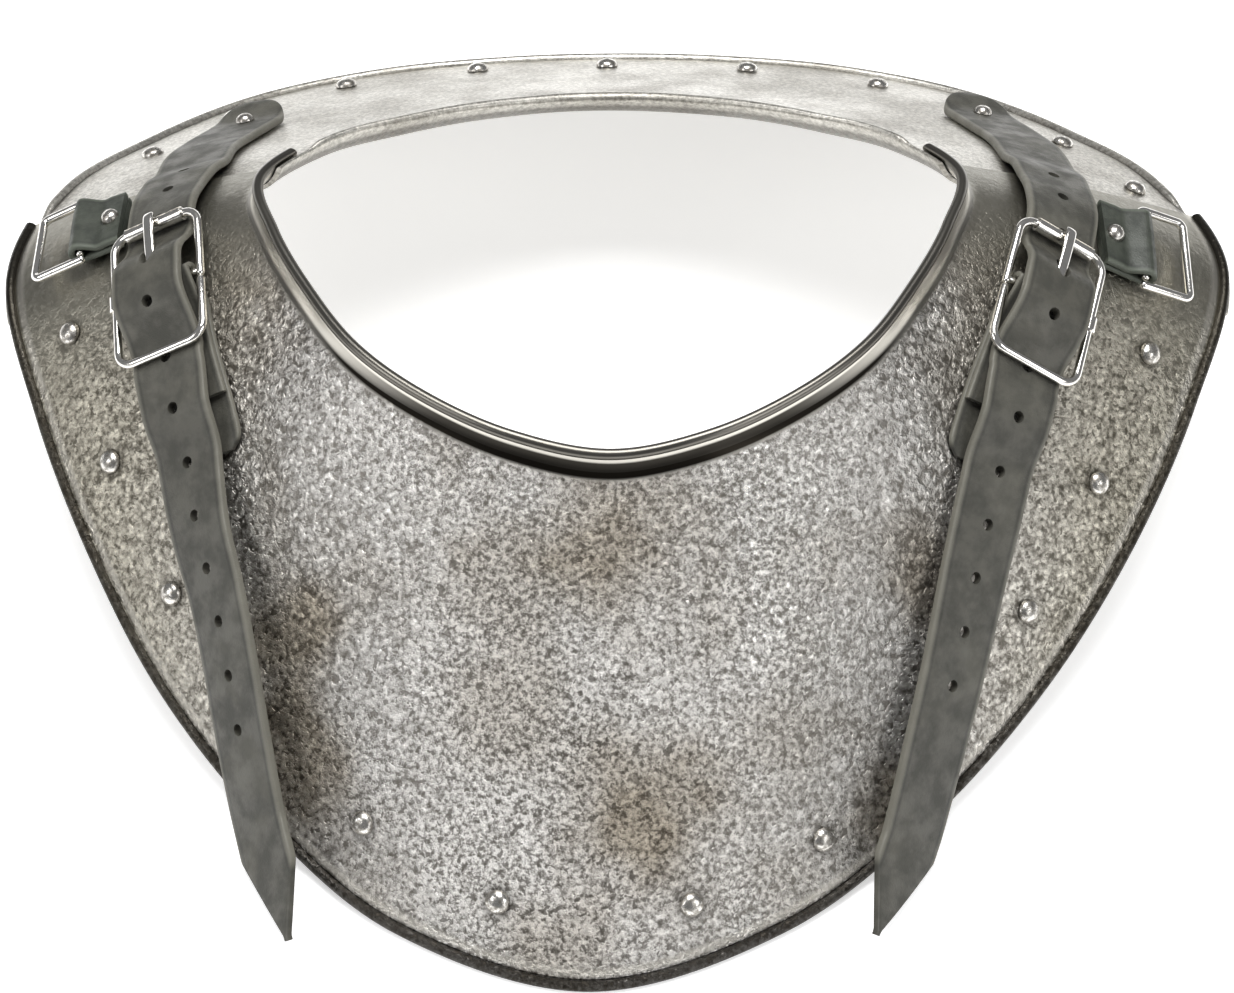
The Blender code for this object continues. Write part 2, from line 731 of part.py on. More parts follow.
def strap_half_width(route, arc):
    """Half the strap's width: round at the root, pointed at the tail."""
    half = STRAP_WIDTH / 2
    if arc < half:
        return max(0.12 * half, math.sqrt(max(0.0, half**2 - (half - arc)**2)))
    left = route.length - arc
    if left < POINT_LENGTH:
        return max(0.06 * half, half * left / POINT_LENGTH)
    return half


def strap_stations(route, heights):
    """Arc lengths of the strap's sections: at every knot, and evenly between knots."""
    root = list(np.array((0.0, 0.04, 0.15, 0.4, 0.8)) * STRAP_WIDTH / 2)
    tail = route.length - POINT_LENGTH * np.array((1.0, 0.5, 0.0))
    knots = [*(place for place, _ in heights[1:]), tail[0]]
    arcs = root
    for start, end in zip(knots, knots[1:]):
        count = max(1, math.ceil((end - start) / SECTION_STEP))
        arcs += list(np.linspace(start, end, count, endpoint=False))
    return arcs + list(tail)


def make_strap(side, route, roller, buckle):
    """The long perforated strap from the back plate to its pointed tail."""
    heights = strap_heights(route, roller, buckle)
    rings = []
    for arc in strap_stations(route, heights):
        middle, width, face = strap_section(route, heights, buckle, arc)
        half = strap_half_width(route, arc)
        rings.append([middle - width * half, middle + width * half,
                      middle + width * half + face * STRAP_THICKNESS,
                      middle - width * half + face * STRAP_THICKNESS])
    strap = loft(f"strap_{side['name']}", rings, "strap_leather")

    holes = bmesh.new()
    crossings = roller + BUCKLE_LENGTH * np.linspace(0.115, 0.37, 37)
    tongue_hole = min(crossings, key=lambda arc: abs(
        (buckle.inverted() @ Vector(strap_section(route, heights, buckle, arc)[0])).z
        - TONGUE_CROSSING))
    for number in range(-side["holes_above"], side["holes_below"] + 1):
        arc = tongue_hole + number * HOLE_PITCH
        middle, width, face = strap_section(route, heights, buckle, arc)
        matrix = placing(middle, face, route.frame(arc)[1])
        if number == 0:
            half = TONGUE_WIDTH / 2 + 2 * GAP
            box(holes, matrix, (-half, -TONGUE_SLOT / 2, -CUT_MARGIN),
                (half, TONGUE_SLOT / 2, STRAP_THICKNESS + CUT_MARGIN))
        else:
            bore(holes, matrix, HOLE_RADIUS, -CUT_MARGIN, STRAP_THICKNESS + CUT_MARGIN,
                 segments=6)
    boolean(strap, add_mesh(f"strap_{side['name']}_holes", holes))

    arc = STRAP_WIDTH * 0.554
    middle, width, face = strap_section(route, heights, buckle, arc)
    matrix = placing(middle + face * STRAP_THICKNESS, face, route.frame(arc)[1])
    grip = STRAP_THICKNESS + GAP + WALL
    rivet(f"strap_rivet_{side['name']}", matrix, grip, STRAP_RIVET_RADIUS)
    drills = bmesh.new()
    drill(drills, matrix, grip)
    hole = add_mesh(f"strap_{side['name']}_rivet_hole", drills)
    boolean(strap, hole)
    boolean(bpy.data.objects["back_plate"], hole)


def wire_ring(width, length, corner, steps=3):
    """Points round a rectangle with round corners, in the XY plane."""
    points = []
    for x, y, start in ((1, 1, 0), (-1, 1, 90), (-1, -1, 180), (1, -1, 270)):
        for angle in np.radians(np.linspace(start, start + 90, steps + 1)):
            points.append((x * (width / 2 - corner) + corner * math.cos(angle),
                           y * (length / 2 - corner) + corner * math.sin(angle), 0.0))
    return [np.array(point) for point in points]


def make_buckle(side, buckle):
    """The wire frame with its centre bar and eye, the roller and the tongue."""
    name = side["name"]
    neck = -side["sign"]
    width = BUCKLE_INSIDE + 2 * WIRE_RADIUS
    points = [(width / 2, -WIRE_RADIUS, 0.0), *wire_ring(width, BUCKLE_LENGTH, BUCKLE_CORNER),
              (width / 2, -WIRE_RADIUS - BUTT_GAP, 0.0)]
    points = [(x * neck, y, z) for x, y, z in points]
    frame = as_mesh(wire(f"buckle_frame_{name}", points, WIRE_RADIUS, "nickel_wire", buckle,
                         closed=False))
    joined = bmesh.new()
    lying = Matrix.Rotation(math.pi / 2, 4, "Y")
    bore(joined, lying, WIRE_RADIUS * 0.97, -width / 2, width / 2)
    bar = add_mesh(f"centre_bar_{name}", joined)
    joined = bmesh.new()
    standing = Matrix.Translation((-neck * width / 2, 0.0, 0.0)) @ Matrix.Rotation(
        math.pi / 2, 4, "X")
    bore(joined, standing, EYE_RADIUS, -EYE_LENGTH / 2, EYE_LENGTH / 2)
    eye = add_mesh(f"bar_eye_{name}", joined)
    for addition in (bar, eye):
        addition.matrix_world = buckle
        boolean(frame, addition, "UNION")

    half = BUCKLE_INSIDE / 2 - BUCKLE_CORNER + WIRE_RADIUS
    bore_radius = WIRE_RADIUS + GAP / 2
    profile = ((ROLLER_RADIUS, half), (ROLLER_RADIUS, -half), (bore_radius, -half),
               (bore_radius, half), (ROLLER_RADIUS, half))
    axis = buckle @ Matrix.Translation((0.0, BUCKLE_LENGTH / 2, 0.0)) @ lying
    turned(f"buckle_roller_{name}", profile, "nickel_wire", axis, steps=10)

    eye_line = WIRE_RADIUS + GAP + TONGUE_THICKNESS / 2
    rest_line = ROLLER_RADIUS + GAP + TONGUE_THICKNESS / 2
    reach = BUCKLE_LENGTH / 2
    line = [(eye_line * math.cos(a), eye_line * math.sin(a))
            for a in np.radians(np.linspace(-20, -290, 8))]
    line += [(eye_line * 1.25, eye_line * 1.05), (reach * 0.6, rest_line * 0.96),
             (reach, rest_line), (reach + ROLLER_RADIUS * 1.1, rest_line * 0.72)]
    line = np.array(line)
    side_step = path_normals(line) * TONGUE_THICKNESS / 2
    across = Matrix(((0, 0, 1, 0), (1, 0, 0, 0), (0, 1, 0, 0), (0, 0, 0, 1)))
    outline(f"buckle_tongue_{name}", [*(line + side_step), *(line - side_step)[::-1]],
            TONGUE_WIDTH / 2, "nickel_wire", buckle @ across)


def folded_strip(name, kind, lower, bar, upper, widths, thickness):
    """Leather folded round a bar: a lower run, a turn about the bar, and an upper run.

    Each run is a row of (point on the strip's inner face, outward normal, width direction).
    """
    rings = []
    for (point, normal, across), half in zip([*lower, *bar, *upper], widths):
        rings.append([point - across * half, point + across * half,
                      point + across * half + normal * thickness,
                      point - across * half + normal * thickness])
    return loft(name, rings, kind)


def make_buckle_strap(side, route, roller, buckle):
    """The short strap that holds the buckle: folded round the centre bar, riveted down."""
    name = side["name"]
    centre = roller + BUCKLE_LENGTH / 2
    half = BUCKLE_STRAP_WIDTH / 2
    inside = WIRE_RADIUS + GAP

    def run(distance, height, face):
        point, along, normal = route.frame(centre + distance)
        across = np.cross(along, normal) * route.sign
        drift = BUCKLE_STRAP_DRIFT * blend(distance / BUCKLE_STRAP_LENGTH, 0.244, 1.0)
        middle = point + normal * height + across * (BUCKLE_STRAP_OFFSET + drift)
        return middle, normal * face, across

    across = np.array(buckle.to_3x3() @ Vector((1.0, 0.0, 0.0)))
    across = across * np.sign(np.dot(across, run(BUCKLE_STRAP_RIVET, 0.0, 1)[2]))
    lower = [run(BUCKLE_STRAP_LENGTH * share, GAP + LIGHT_LEATHER, -1)
             for share in (1.0, 0.92, 0.78, 0.63, 0.49, 0.34, 0.22, 0.15)]
    bar = []
    for angle in np.radians((-60, -20, 20, 60, 95)):
        local = Vector((0.0, inside * math.cos(angle), inside * math.sin(angle)))
        out = np.array(buckle.to_3x3() @ Vector((0.0, math.cos(angle), math.sin(angle))))
        bar.append((np.array(buckle @ local) + across * BUCKLE_STRAP_OFFSET, out, across))
    top = GAP + LIGHT_LEATHER + GAP
    upper = [run(BUCKLE_STRAP_FOLD * share, top, 1) for share in (0.316, 0.491, 0.702, 1.0)]
    upper[0] = (upper[0][0] + upper[0][1] * GAP * 1.33, upper[0][1], upper[0][2])
    count = len(lower) + len(bar) + len(upper)
    widths = [half * 0.72] + [half] * (count - 1)
    strip = folded_strip(f"buckle_strap_{name}", "strap_leather", lower, bar, upper, widths,
                         LIGHT_LEATHER)
    slot = bmesh.new()
    reach = FOLD_RADIUS + LIGHT_LEATHER
    half = TONGUE_WIDTH / 2 + 2 * GAP
    box(slot, buckle, (-half, -FOLD_RADIUS * 1.15, -reach), (half, reach, reach))
    boolean(strip, add_mesh(f"tongue_slot_{name}", slot))

    point, normal, _ = run(BUCKLE_STRAP_RIVET, 0.0, 1)
    matrix = placing(point, normal, route.frame(centre + BUCKLE_STRAP_RIVET)[1])
    rivet(f"buckle_strap_rivet_{name}", matrix, WALL, STRAP_RIVET_RADIUS, STACK - GAP,
          RIVET_TAIL)
    drills = bmesh.new()
    drill(drills, matrix, WALL, STACK)
    hole = add_mesh(f"buckle_strap_{name}_rivet_hole", drills)
    boolean(strip, hole)
    boolean(bpy.data.objects["front_plate"], hole)


def make_side_ring(side):
    """The short leather tab outside the buckle, and the wire ring in its fold."""
    name = side["name"]
    station = side["ring_station"] * side["sign"]
    bar_height = GAP + LIGHT_LEATHER + GAP + WIRE_RADIUS
    bar_point, normal = on_plate(station, side["ring_share"], bar_height)
    bar_line = np.array((0.0, normal[2], -normal[1]))
    inward = np.cross(bar_line, normal) * -side["sign"]
    ring_matrix = placing(bar_point, normal, inward)
    points = [(x, y - RING_WIDTH / 2, z)
              for x, y, z in wire_ring(RING_LENGTH, RING_WIDTH, RING_CORNER)]
    wire(f"side_ring_{name}", points, WIRE_RADIUS, "nickel_wire", ring_matrix, closed=True)

    axis = np.array(ring_matrix.to_3x3() @ Vector((1.0, 0.0, 0.0)))
    inside = WIRE_RADIUS + GAP

    def run(distance, height, face):
        share = side["ring_share"] - distance / section_length(station)
        point, plate_normal = on_plate(station, share, height)
        return point, plate_normal * face, axis

    lower = [run(TAB_LENGTH * share, GAP + LIGHT_LEATHER, -1)
             for share in (1.0, 0.926, 0.556, 0.278)]
    bar = []
    for angle in np.radians(np.linspace(-70, -285, 6)):
        local = Vector((0.0, inside * math.cos(angle), inside * math.sin(angle)))
        out = np.array(ring_matrix.to_3x3() @ Vector((0.0, math.cos(angle), math.sin(angle))))
        bar.append((np.array(ring_matrix @ local), out, axis))
    top = GAP + LIGHT_LEATHER + GAP
    upper = [run(TAB_LENGTH * share, top, 1) for share in (0.417, 0.648, 0.926, 1.0)]
    count = len(lower) + len(bar) + len(upper)
    strip = folded_strip(f"side_tab_{name}", "tab_leather", lower, bar, upper,
                         [TAB_WIDTH / 2] * count, LIGHT_LEATHER)

    point, plate_normal, _ = run(TAB_RIVET, STACK - GAP, 1)
    matrix = placing(point, plate_normal, inward)
    rivet(f"side_tab_rivet_{name}", matrix, STACK + WALL - GAP, STRAP_RIVET_RADIUS)
    drills = bmesh.new()
    drill(drills, matrix, STACK + WALL - GAP)
    hole = add_mesh(f"side_tab_{name}_rivet_hole", drills)
    boolean(strip, hole)
    boolean(bpy.data.objects["front_plate"], hole)


def make_side(row):
    """Everything that one shoulder carries."""
    side = dict(zip(SIDE_COLUMNS, row))
    route = Route(side)
    roller = route.at_station(side["roller"])
    buckle = buckle_frame(route, roller)
    make_strap(side, route, roller, buckle)
    make_buckle(side, buckle)
    make_buckle_strap(side, route, roller, buckle)
    make_side_ring(side)


edge_rivets(make_plates())
for side_row in SIDES:
    make_side(side_row)
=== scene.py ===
# %% [markdown]
# # A steel gorget, dressed in its real surfaces
#
# A gorget guards the base of the neck. This one has a broad front plate, a narrow back plate
# that runs under it at both shoulders, and two leather straps with wire buckles between them.
# The measured model is loaded first. It fixes every place and size. After that, each visible
# piece is made again as a fine surface, and each finish is built from nodes.

# %% Load the measured model
import math

import bmesh
import bpy
import numpy as np
from mathutils import Matrix, Vector


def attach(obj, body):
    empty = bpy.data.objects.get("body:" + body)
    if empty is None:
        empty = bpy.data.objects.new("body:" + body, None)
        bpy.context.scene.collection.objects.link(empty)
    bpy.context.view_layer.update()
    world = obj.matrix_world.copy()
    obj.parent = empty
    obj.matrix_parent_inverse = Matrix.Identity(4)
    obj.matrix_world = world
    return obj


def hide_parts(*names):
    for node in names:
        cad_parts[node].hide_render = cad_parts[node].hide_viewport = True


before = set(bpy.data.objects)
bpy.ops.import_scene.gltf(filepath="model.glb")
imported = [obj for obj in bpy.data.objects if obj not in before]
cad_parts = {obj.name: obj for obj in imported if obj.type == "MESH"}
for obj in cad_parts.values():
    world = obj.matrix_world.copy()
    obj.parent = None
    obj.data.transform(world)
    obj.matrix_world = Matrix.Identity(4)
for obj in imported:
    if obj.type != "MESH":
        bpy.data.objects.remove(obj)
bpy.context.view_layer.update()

# %% [markdown]
# ## The camera
#
# The view is the one that shows both buckles and looks down through the neck opening. A camera
# can be aimed by eye, but here it is worked out: it stands on a line that rises at a known
# angle from a target point, and its focal length is given in image pixels.

# %% Set the camera
IMAGE_WIDTH = 1234
FOCAL_PIXELS = 3900
SENSOR_WIDTH = 36.0
CAMERA_TARGET = Vector((0.00106, -0.0342, 0.0376))
CAMERA_DISTANCE = 0.893
CAMERA_ELEVATION = math.radians(52.0)
CAMERA_ROLL = math.radians(-0.43)


def make_camera():
    """Camera on a line from the target that rises by the elevation, rolled about that line."""
    away = Vector((0.0, -math.cos(CAMERA_ELEVATION), math.sin(CAMERA_ELEVATION)))
    camera = bpy.data.objects.new("camera", bpy.data.cameras.new("camera"))
    camera.data.sensor_width = SENSOR_WIDTH
    camera.data.lens = FOCAL_PIXELS * SENSOR_WIDTH / IMAGE_WIDTH
    camera.data.clip_start = 0.01
    camera.location = CAMERA_TARGET + away * CAMERA_DISTANCE
    aim = (-away).to_track_quat("-Z", "Y").to_matrix()
    camera.rotation_euler = (aim @ Matrix.Rotation(CAMERA_ROLL, 3, "Z")).to_euler()
    bpy.context.scene.collection.objects.link(camera)
    bpy.context.scene.camera = camera


make_camera()

# %% [markdown]
# ## From a grid of points to a mesh
#
# A bent plate, a strap and a wire have one thing in common. Each is a cross-section carried
# along a path. So one helper is enough for all of them: it takes a grid of points with one
# section per row, joins neighbours with four-sided faces, and closes both ends. numpy works on
# whole arrays at once, which keeps the script short and quick.

# %% Grid helper
MERGE = 0.000002


def solid_from_grid(name, grid, ring=False, uv=None, angle=40.0):
    """Closed surface through a grid of sections.

    Row i, column j is a point. Faces join (i, j), (i, j+1), (i+1, j+1) and (i+1, j), where
    the columns wrap round. The rows wrap too if ring is set, otherwise both ends are capped.
    """
    rows, columns = grid.shape[:2]
    i = np.arange(rows if ring else rows - 1)[:, None]
    j = np.arange(columns)[None, :]
    ahead = (i + 1) % rows
    beside = (j + 1) % columns
    corners = (i * columns + j, i * columns + beside, ahead * columns + beside,
               ahead * columns + j)
    faces = np.stack(corners, axis=-1).reshape(-1, 4).tolist()
    if not ring:
        faces.append(list(range(columns))[::-1])
        faces.append(list(range((rows - 1) * columns, rows * columns)))
    mesh = bpy.data.meshes.new(name)
    mesh.from_pydata(grid.reshape(-1, 3).tolist(), [], faces)
    if uv is not None:
        corner_points = np.empty(len(mesh.loops), np.int32)
        mesh.loops.foreach_get("vertex_index", corner_points)
        layer = mesh.uv_layers.new(name="place")
        layer.data.foreach_set("uv", uv.reshape(-1, 2)[corner_points].astype(np.float32).ravel())
    tidy_mesh(mesh, angle)
    piece = bpy.data.objects.new(name, mesh)
    bpy.context.scene.collection.objects.link(piece)
    return piece


def tidy_mesh(mesh, angle=40.0):
    """Merge doubled points at poles, turn the faces outwards and shade them smooth."""
    build = bmesh.new()
    build.from_mesh(mesh)
    bmesh.ops.remove_doubles(build, verts=build.verts, dist=MERGE)
    bmesh.ops.recalc_face_normals(build, faces=build.faces)
    build.to_mesh(mesh)
    build.free()
    mesh.shade_smooth()
    mesh.set_sharp_from_angle(angle=math.radians(angle))


def cut(piece, cutter, keep=False):
    """Take the cutter's volume out of a piece."""
    difference = piece.modifiers.new("cut", "BOOLEAN")
    difference.operation = "DIFFERENCE"
    difference.object = cutter
    bpy.context.view_layer.update()
    evaluated = piece.evaluated_get(bpy.context.evaluated_depsgraph_get())
    mesh = bpy.data.meshes.new_from_object(evaluated)
    piece.modifiers.clear()
    piece.data = mesh
    tidy_mesh(mesh)
    if not keep:
        bpy.data.objects.remove(cutter, do_unlink=True)
    return piece


def unit(vectors):
    """Vectors scaled to length one."""
    vectors = np.asarray(vectors, float)
    return vectors / np.maximum(np.linalg.norm(vectors, axis=-1, keepdims=True), 1e-12)


def smooth_step(value, low, high):
    """0 below low, 1 above high, and 3t^2 - 2t^3 between them."""
    t = np.clip((np.asarray(value, float) - low) / (high - low), 0.0, 1.0)
    return t * t * (3 - 2 * t)


# %% [markdown]
# ## The form of both plates
#
# The two plates follow one form. A section leads from the neck out to the lower edge, and its
# place round the neck is its station, in degrees: 0 at the front, 90 at the wearer's left
# shoulder, 180 at the back. The table holds shares of a few driving sizes at every fifteenth
# degree, and a Catmull-Rom curve runs through its rows, which is smooth and passes through
# every row exactly.

# %% Sizes of the plates
HALF_WIDTH = 0.144
FRONT_REACH = 0.171
BACK_REACH = 0.112
NECK_HALF_WIDTH = 0.080
NECK_FRONT = 0.084
NECK_BACK = 0.0435
NECK_HEIGHT = 0.079
SHOULDER_LIFT = 0.040
PLATE_BULGE = 0.004
EDGE_SKEW = -0.0055
WALL = 0.0012
BEAD_RADIUS = 0.0013
FLANGE_HEIGHT = 0.0055
FLANGE_LEAN = 0.0022
FLANGE_FILLET = 0.0032
PLATE_GAP = 0.0004
SEAM_STATION = 98.0
UNDERLAP = 12.0
UNDERLAP_REACH = 0.0030
RELIEF_STATION = 93.2
RELIEF_SHARE = 0.74
GAP = 0.0003
STATION_STEP = 15.0
NECK_LINE = (FRONT_REACH - BACK_REACH) / 2

FORM_COLUMNS = ("station", "neck_x", "neck_y", "neck_z", "edge_x", "edge_y", "edge_z", "bulge",
                "skew")
FORM = np.array((
    (0, 0.00, -1.00, 1.00, 0.00, -1.00, 0.00, 1.00, 1.00),
    (15, 0.27, -0.95, 1.02, 0.296, -0.914, 0.01, 1.00, 0.95),
    (30, 0.51, -0.825, 1.03, 0.515, -0.754, 0.07, 1.00, 0.68),
    (45, 0.705, -0.66, 1.035, 0.692, -0.576, 0.235, 0.95, 0.42),
    (60, 0.845, -0.45, 1.03, 0.827, -0.395, 0.52, 0.85, 0.08),
    (75, 0.95, -0.235, 1.02, 0.932, -0.2035, 0.81, 0.70, -0.15),
    (90, 1.00, 0.00, 0.975, 1.00, 0.00, 1.00, 0.55, -0.28),
    (105, 0.82, 0.42, 0.90, 0.934, 0.33, 0.80, 0.40, 0.00),
    (120, 0.60, 0.65, 0.85, 0.8065, 0.605, 0.445, 0.25, 0.00),
    (135, 0.43, 0.80, 0.81, 0.638, 0.825, 0.17, 0.10, 0.00),
    (150, 0.28, 0.905, 0.775, 0.424, 0.95, 0.042, 0.00, 0.00),
    (165, 0.14, 0.975, 0.75, 0.204, 0.99, 0.032, 0.00, 0.00),
    (180, 0.00, 1.00, 0.74, 0.00, 1.00, 0.032, 0.00, 0.00),
))


# %% Curve through the table
def smooth_rows(rows, places):
    """Catmull-Rom: with rows a, b, c, d round place b + t, half of
    2b + (c - a)t + (2a - 5b + 4c - d)t^2 + (3b - a - 3c + d)t^3."""
    places = np.clip(np.atleast_1d(places).astype(float), 0, len(rows) - 3 - 1e-9)
    start = places.astype(int)
    t = (places - start)[:, None]
    a, b, c, d = (rows[start + k] for k in range(4))
    return 0.5 * (2 * b + (c - a) * t + (2 * a - 5 * b + 4 * c - d) * t**2
                  + (3 * b - a - 3 * c + d) * t**3)


def form_in_metres():
    """The table times its driving sizes, with one mirrored row before and after it."""
    column = dict(zip(FORM_COLUMNS, FORM.T))
    neck_reach = np.where(column["neck_y"] < 0, NECK_FRONT, NECK_BACK)
    edge_reach = np.where(column["edge_y"] < 0, FRONT_REACH, BACK_REACH)
    rows = np.column_stack((
        column["neck_x"] * NECK_HALF_WIDTH,
        NECK_LINE + column["neck_y"] * neck_reach,
        column["neck_z"] * NECK_HEIGHT,
        column["edge_x"] * HALF_WIDTH,
        NECK_LINE + column["edge_y"] * edge_reach,
        column["edge_z"] * SHOULDER_LIFT,
        column["bulge"] * PLATE_BULGE,
        column["skew"] * EDGE_SKEW,
    ))
    flip = np.array((-1, 1, 1, -1, 1, 1, 1, 1))
    return np.vstack((rows[1] * flip, rows, rows[-2] * flip))


FORM_ROWS = form_in_metres()


def form_at(stations):
    """Neck points, edge points and bulges at some stations, mirrored for negative ones."""
    stations = (np.asarray(stations, float) + 180.0) % 360.0 - 180.0
    side = np.where(stations < 0, -1.0, 1.0)
    row = smooth_rows(FORM_ROWS, np.abs(stations) / STATION_STEP)
    mirror = np.column_stack((side, np.ones((len(side), 2))))
    skew = row[:, 7:8] * np.array((1.0, 0.0, 0.0))
    return row[:, 0:3] * mirror, row[:, 3:6] * mirror + skew, row[:, 6]


# %% [markdown]
# ## One section of sheet steel
#
# Each section drops down a short flange at the neck, turns through a fillet and runs out over
# the shoulder in a slight arch. The sheet's middle line is worked out first. Its two faces lie
# half a wall to either side, and a bead of wire closes each end.

# %% Section lines
PLATE_STEPS = 64


def section_lines(stations, plate_steps=PLATE_STEPS):
    """Middle lines (station, point, 2) as outward distance and height from the neck's rim.

    The flange is straight, the fillet is a quadratic Bezier about the flange's foot, and the
    plate is a straight run plus the bulge times 4t(1 - t) along its normal.
    """
    neck, edge, bulge = form_at(stations)
    outward = edge - neck
    run = np.hypot(outward[:, 0], outward[:, 1])
    foot = np.array((FLANGE_LEAN, -FLANGE_HEIGHT))
    end = np.column_stack((run, outward[:, 2] + WALL * 0.7))
    slope = end - foot
    length = np.linalg.norm(slope, axis=1)[:, None]
    normal = np.column_stack((-slope[:, 1], slope[:, 0])) / length

    def plate(t):
        arch = (bulge[:, None] * 4 * t * (1 - t))[..., None]
        return foot + slope[:, None] * t[..., None] + normal[:, None] * arch

    turn = foot * (1 - FLANGE_FILLET / np.linalg.norm(foot))
    landing = FLANGE_FILLET / length
    flange = np.linspace(0.0, 1.0, 4)[None, :, None] * turn
    flange = np.repeat(flange, len(run), axis=0)
    after = plate(landing)
    t = np.linspace(0.0, 1.0, 9)[1:-1][None, :, None]
    fillet = turn * (1 - t)**2 + foot * 2 * t * (1 - t) + after * t**2
    rest = plate(landing + (1 - landing) * np.linspace(0.0, 1.0, plate_steps)[None, :])
    return np.concatenate((flange, fillet, rest), axis=1), unit(outward[:, :2]), neck


def line_normals(lines):
    """Unit normals of the lines, on the plate's outer side."""
    along = unit(np.gradient(lines, axis=1))
    return np.stack((-along[..., 1], along[..., 0]), axis=-1)


def outer_points(stations, shares):
    """Points on the front plate's outer face, at shares of each section's length."""
    lines, outward, neck = section_lines(stations)
    lines = lines + line_normals(lines) * WALL / 2
    steps = np.linalg.norm(np.diff(lines, axis=1), axis=2)
    arc = np.concatenate((np.zeros((len(lines), 1)), np.cumsum(steps, axis=1)), axis=1)
    target = np.asarray(shares, float) * arc[:, -1]
    index = np.clip((arc <= target[:, None]).sum(axis=1) - 1, 0, lines.shape[1] - 2)
    row = np.arange(len(lines))
    part = ((target - arc[row, index]) / (arc[row, index + 1] - arc[row, index]))[:, None]
    place = lines[row, index] * (1 - part) + lines[row, index + 1] * part
    return np.column_stack((neck[:, :2] + outward * place[:, :1], neck[:, 2] + place[:, 1]))


def on_plate(stations, shares, height=0.0):
    """Points over the outer face and its normals, from differences along and across it."""
    stations = np.atleast_1d(stations).astype(float)
    shares = np.broadcast_to(shares, stations.shape)
    across = outer_points(stations + 1.0, shares) - outer_points(stations - 1.0, shares)
    outward = (outer_points(stations, np.minimum(shares + 0.03, 1.0))
               - outer_points(stations, shares - 0.03))
    normals = unit(np.cross(outward, across))
    normals = normals * np.sign(normals[:, 2:])
    return outer_points(stations, shares) + normals * height, normals


# %% [markdown]
# ## The plates themselves
#
# The hammered sheet isn't perfectly even, and polished metal shows that at once, because every
# small wave bends a reflection. A few long sine waves of about a tenth of a millimetre are
# added along the normal. A noise texture could do this too, but sines keep the surface smooth
# and give the same plate on every run.

# %% Plate surfaces
BEAD_STEPS = 12
STATION_FINENESS = 0.75
WAVES = ((0.00011, 61.0, 23.0, 0.4), (0.00008, -38.0, 71.0, 1.9), (0.00006, 97.0, -54.0, 4.1),
         (0.00004, 131.0, 118.0, 2.2))


def hammer_waves(x, y):
    """Sum of amplitude * sin(a x + b y + phase) over the few long waves in the sheet."""
    return sum(size * np.sin(2 * a * x + 2 * b * y + phase) for size, a, b, phase in WAVES)


def bead(end, outward, normal, radius):
    """Arc of the wired edge in each section, from the outer face round to the inner face."""
    radius = np.broadcast_to(radius, (len(end),))[:, None]
    centre = end + normal * (radius - WALL / 2)
    start = math.pi - np.arcsin(np.clip((WALL - radius) / radius, -1.0, 1.0))
    angles = start + (-math.pi / 2 - start) * np.linspace(0.0, 1.0, BEAD_STEPS + 1)[None, :]
    return centre[:, None] + radius[:, None] * (np.cos(angles)[..., None] * outward[:, None]
                                                + np.sin(angles)[..., None] * normal[:, None])


def plate_surface(name, stations, drop=0.0, bead_radius=BEAD_RADIUS, reach=0.0):
    """Closed surface of a plate: neck bead, outer face, lower bead and inner face in turn."""
    lines, outward, neck = section_lines(stations)
    normals = line_normals(lines)
    lines = lines + normals * drop
    reach = np.broadcast_to(reach, (len(stations),))[:, None]
    lines[:, -1] += unit(lines[:, -1] - lines[:, -2]) * reach
    ripple = hammer_waves(neck[:, :1] + outward[:, :1] * lines[..., 0],
                          neck[:, 1:2] + outward[:, 1:] * lines[..., 0])
    lines = lines + normals * (ripple * np.sin(np.linspace(0, math.pi, lines.shape[1])))[..., None]
    neck_arc = bead(lines[:, 0], unit(lines[:, 0] - lines[:, 1]), normals[:, 0], bead_radius)
    edge_arc = bead(lines[:, -1], unit(lines[:, -1] - lines[:, -2]), normals[:, -1],
                    bead_radius)
    outer = lines[:, 1:-1] + normals[:, 1:-1] * WALL / 2
    inner = lines[:, 1:-1] - normals[:, 1:-1] * WALL / 2
    ring = np.concatenate((neck_arc[:, ::-1], outer, edge_arc, inner[:, ::-1]), axis=1)
    grid = np.concatenate((neck[:, None, :2] + ring[..., :1] * outward[:, None],
                           neck[:, None, 2:] + ring[..., 1:]), axis=2)
    steps = np.linalg.norm(np.diff(lines, axis=1), axis=2)
    arc = np.concatenate((np.zeros((len(lines), 1)), np.cumsum(steps, axis=1)), axis=1)
    total = np.repeat(arc[:, -1:], BEAD_STEPS + 1, axis=1)
    from_neck = np.concatenate((0 * total, arc[:, 1:-1], total, arc[:, -2:0:-1]), axis=1)
    uv = np.stack((from_neck, arc[:, -1:] - from_neck), axis=-1)
    return solid_from_grid(name, grid, uv=uv, angle=50.0)


def make_front_plate():
    """The front plate from one shoulder seam round the front to the other."""
    count = int(2 * SEAM_STATION / STATION_FINENESS) + 1
    return plate_surface("front_plate_skin", np.linspace(-SEAM_STATION, SEAM_STATION, count))


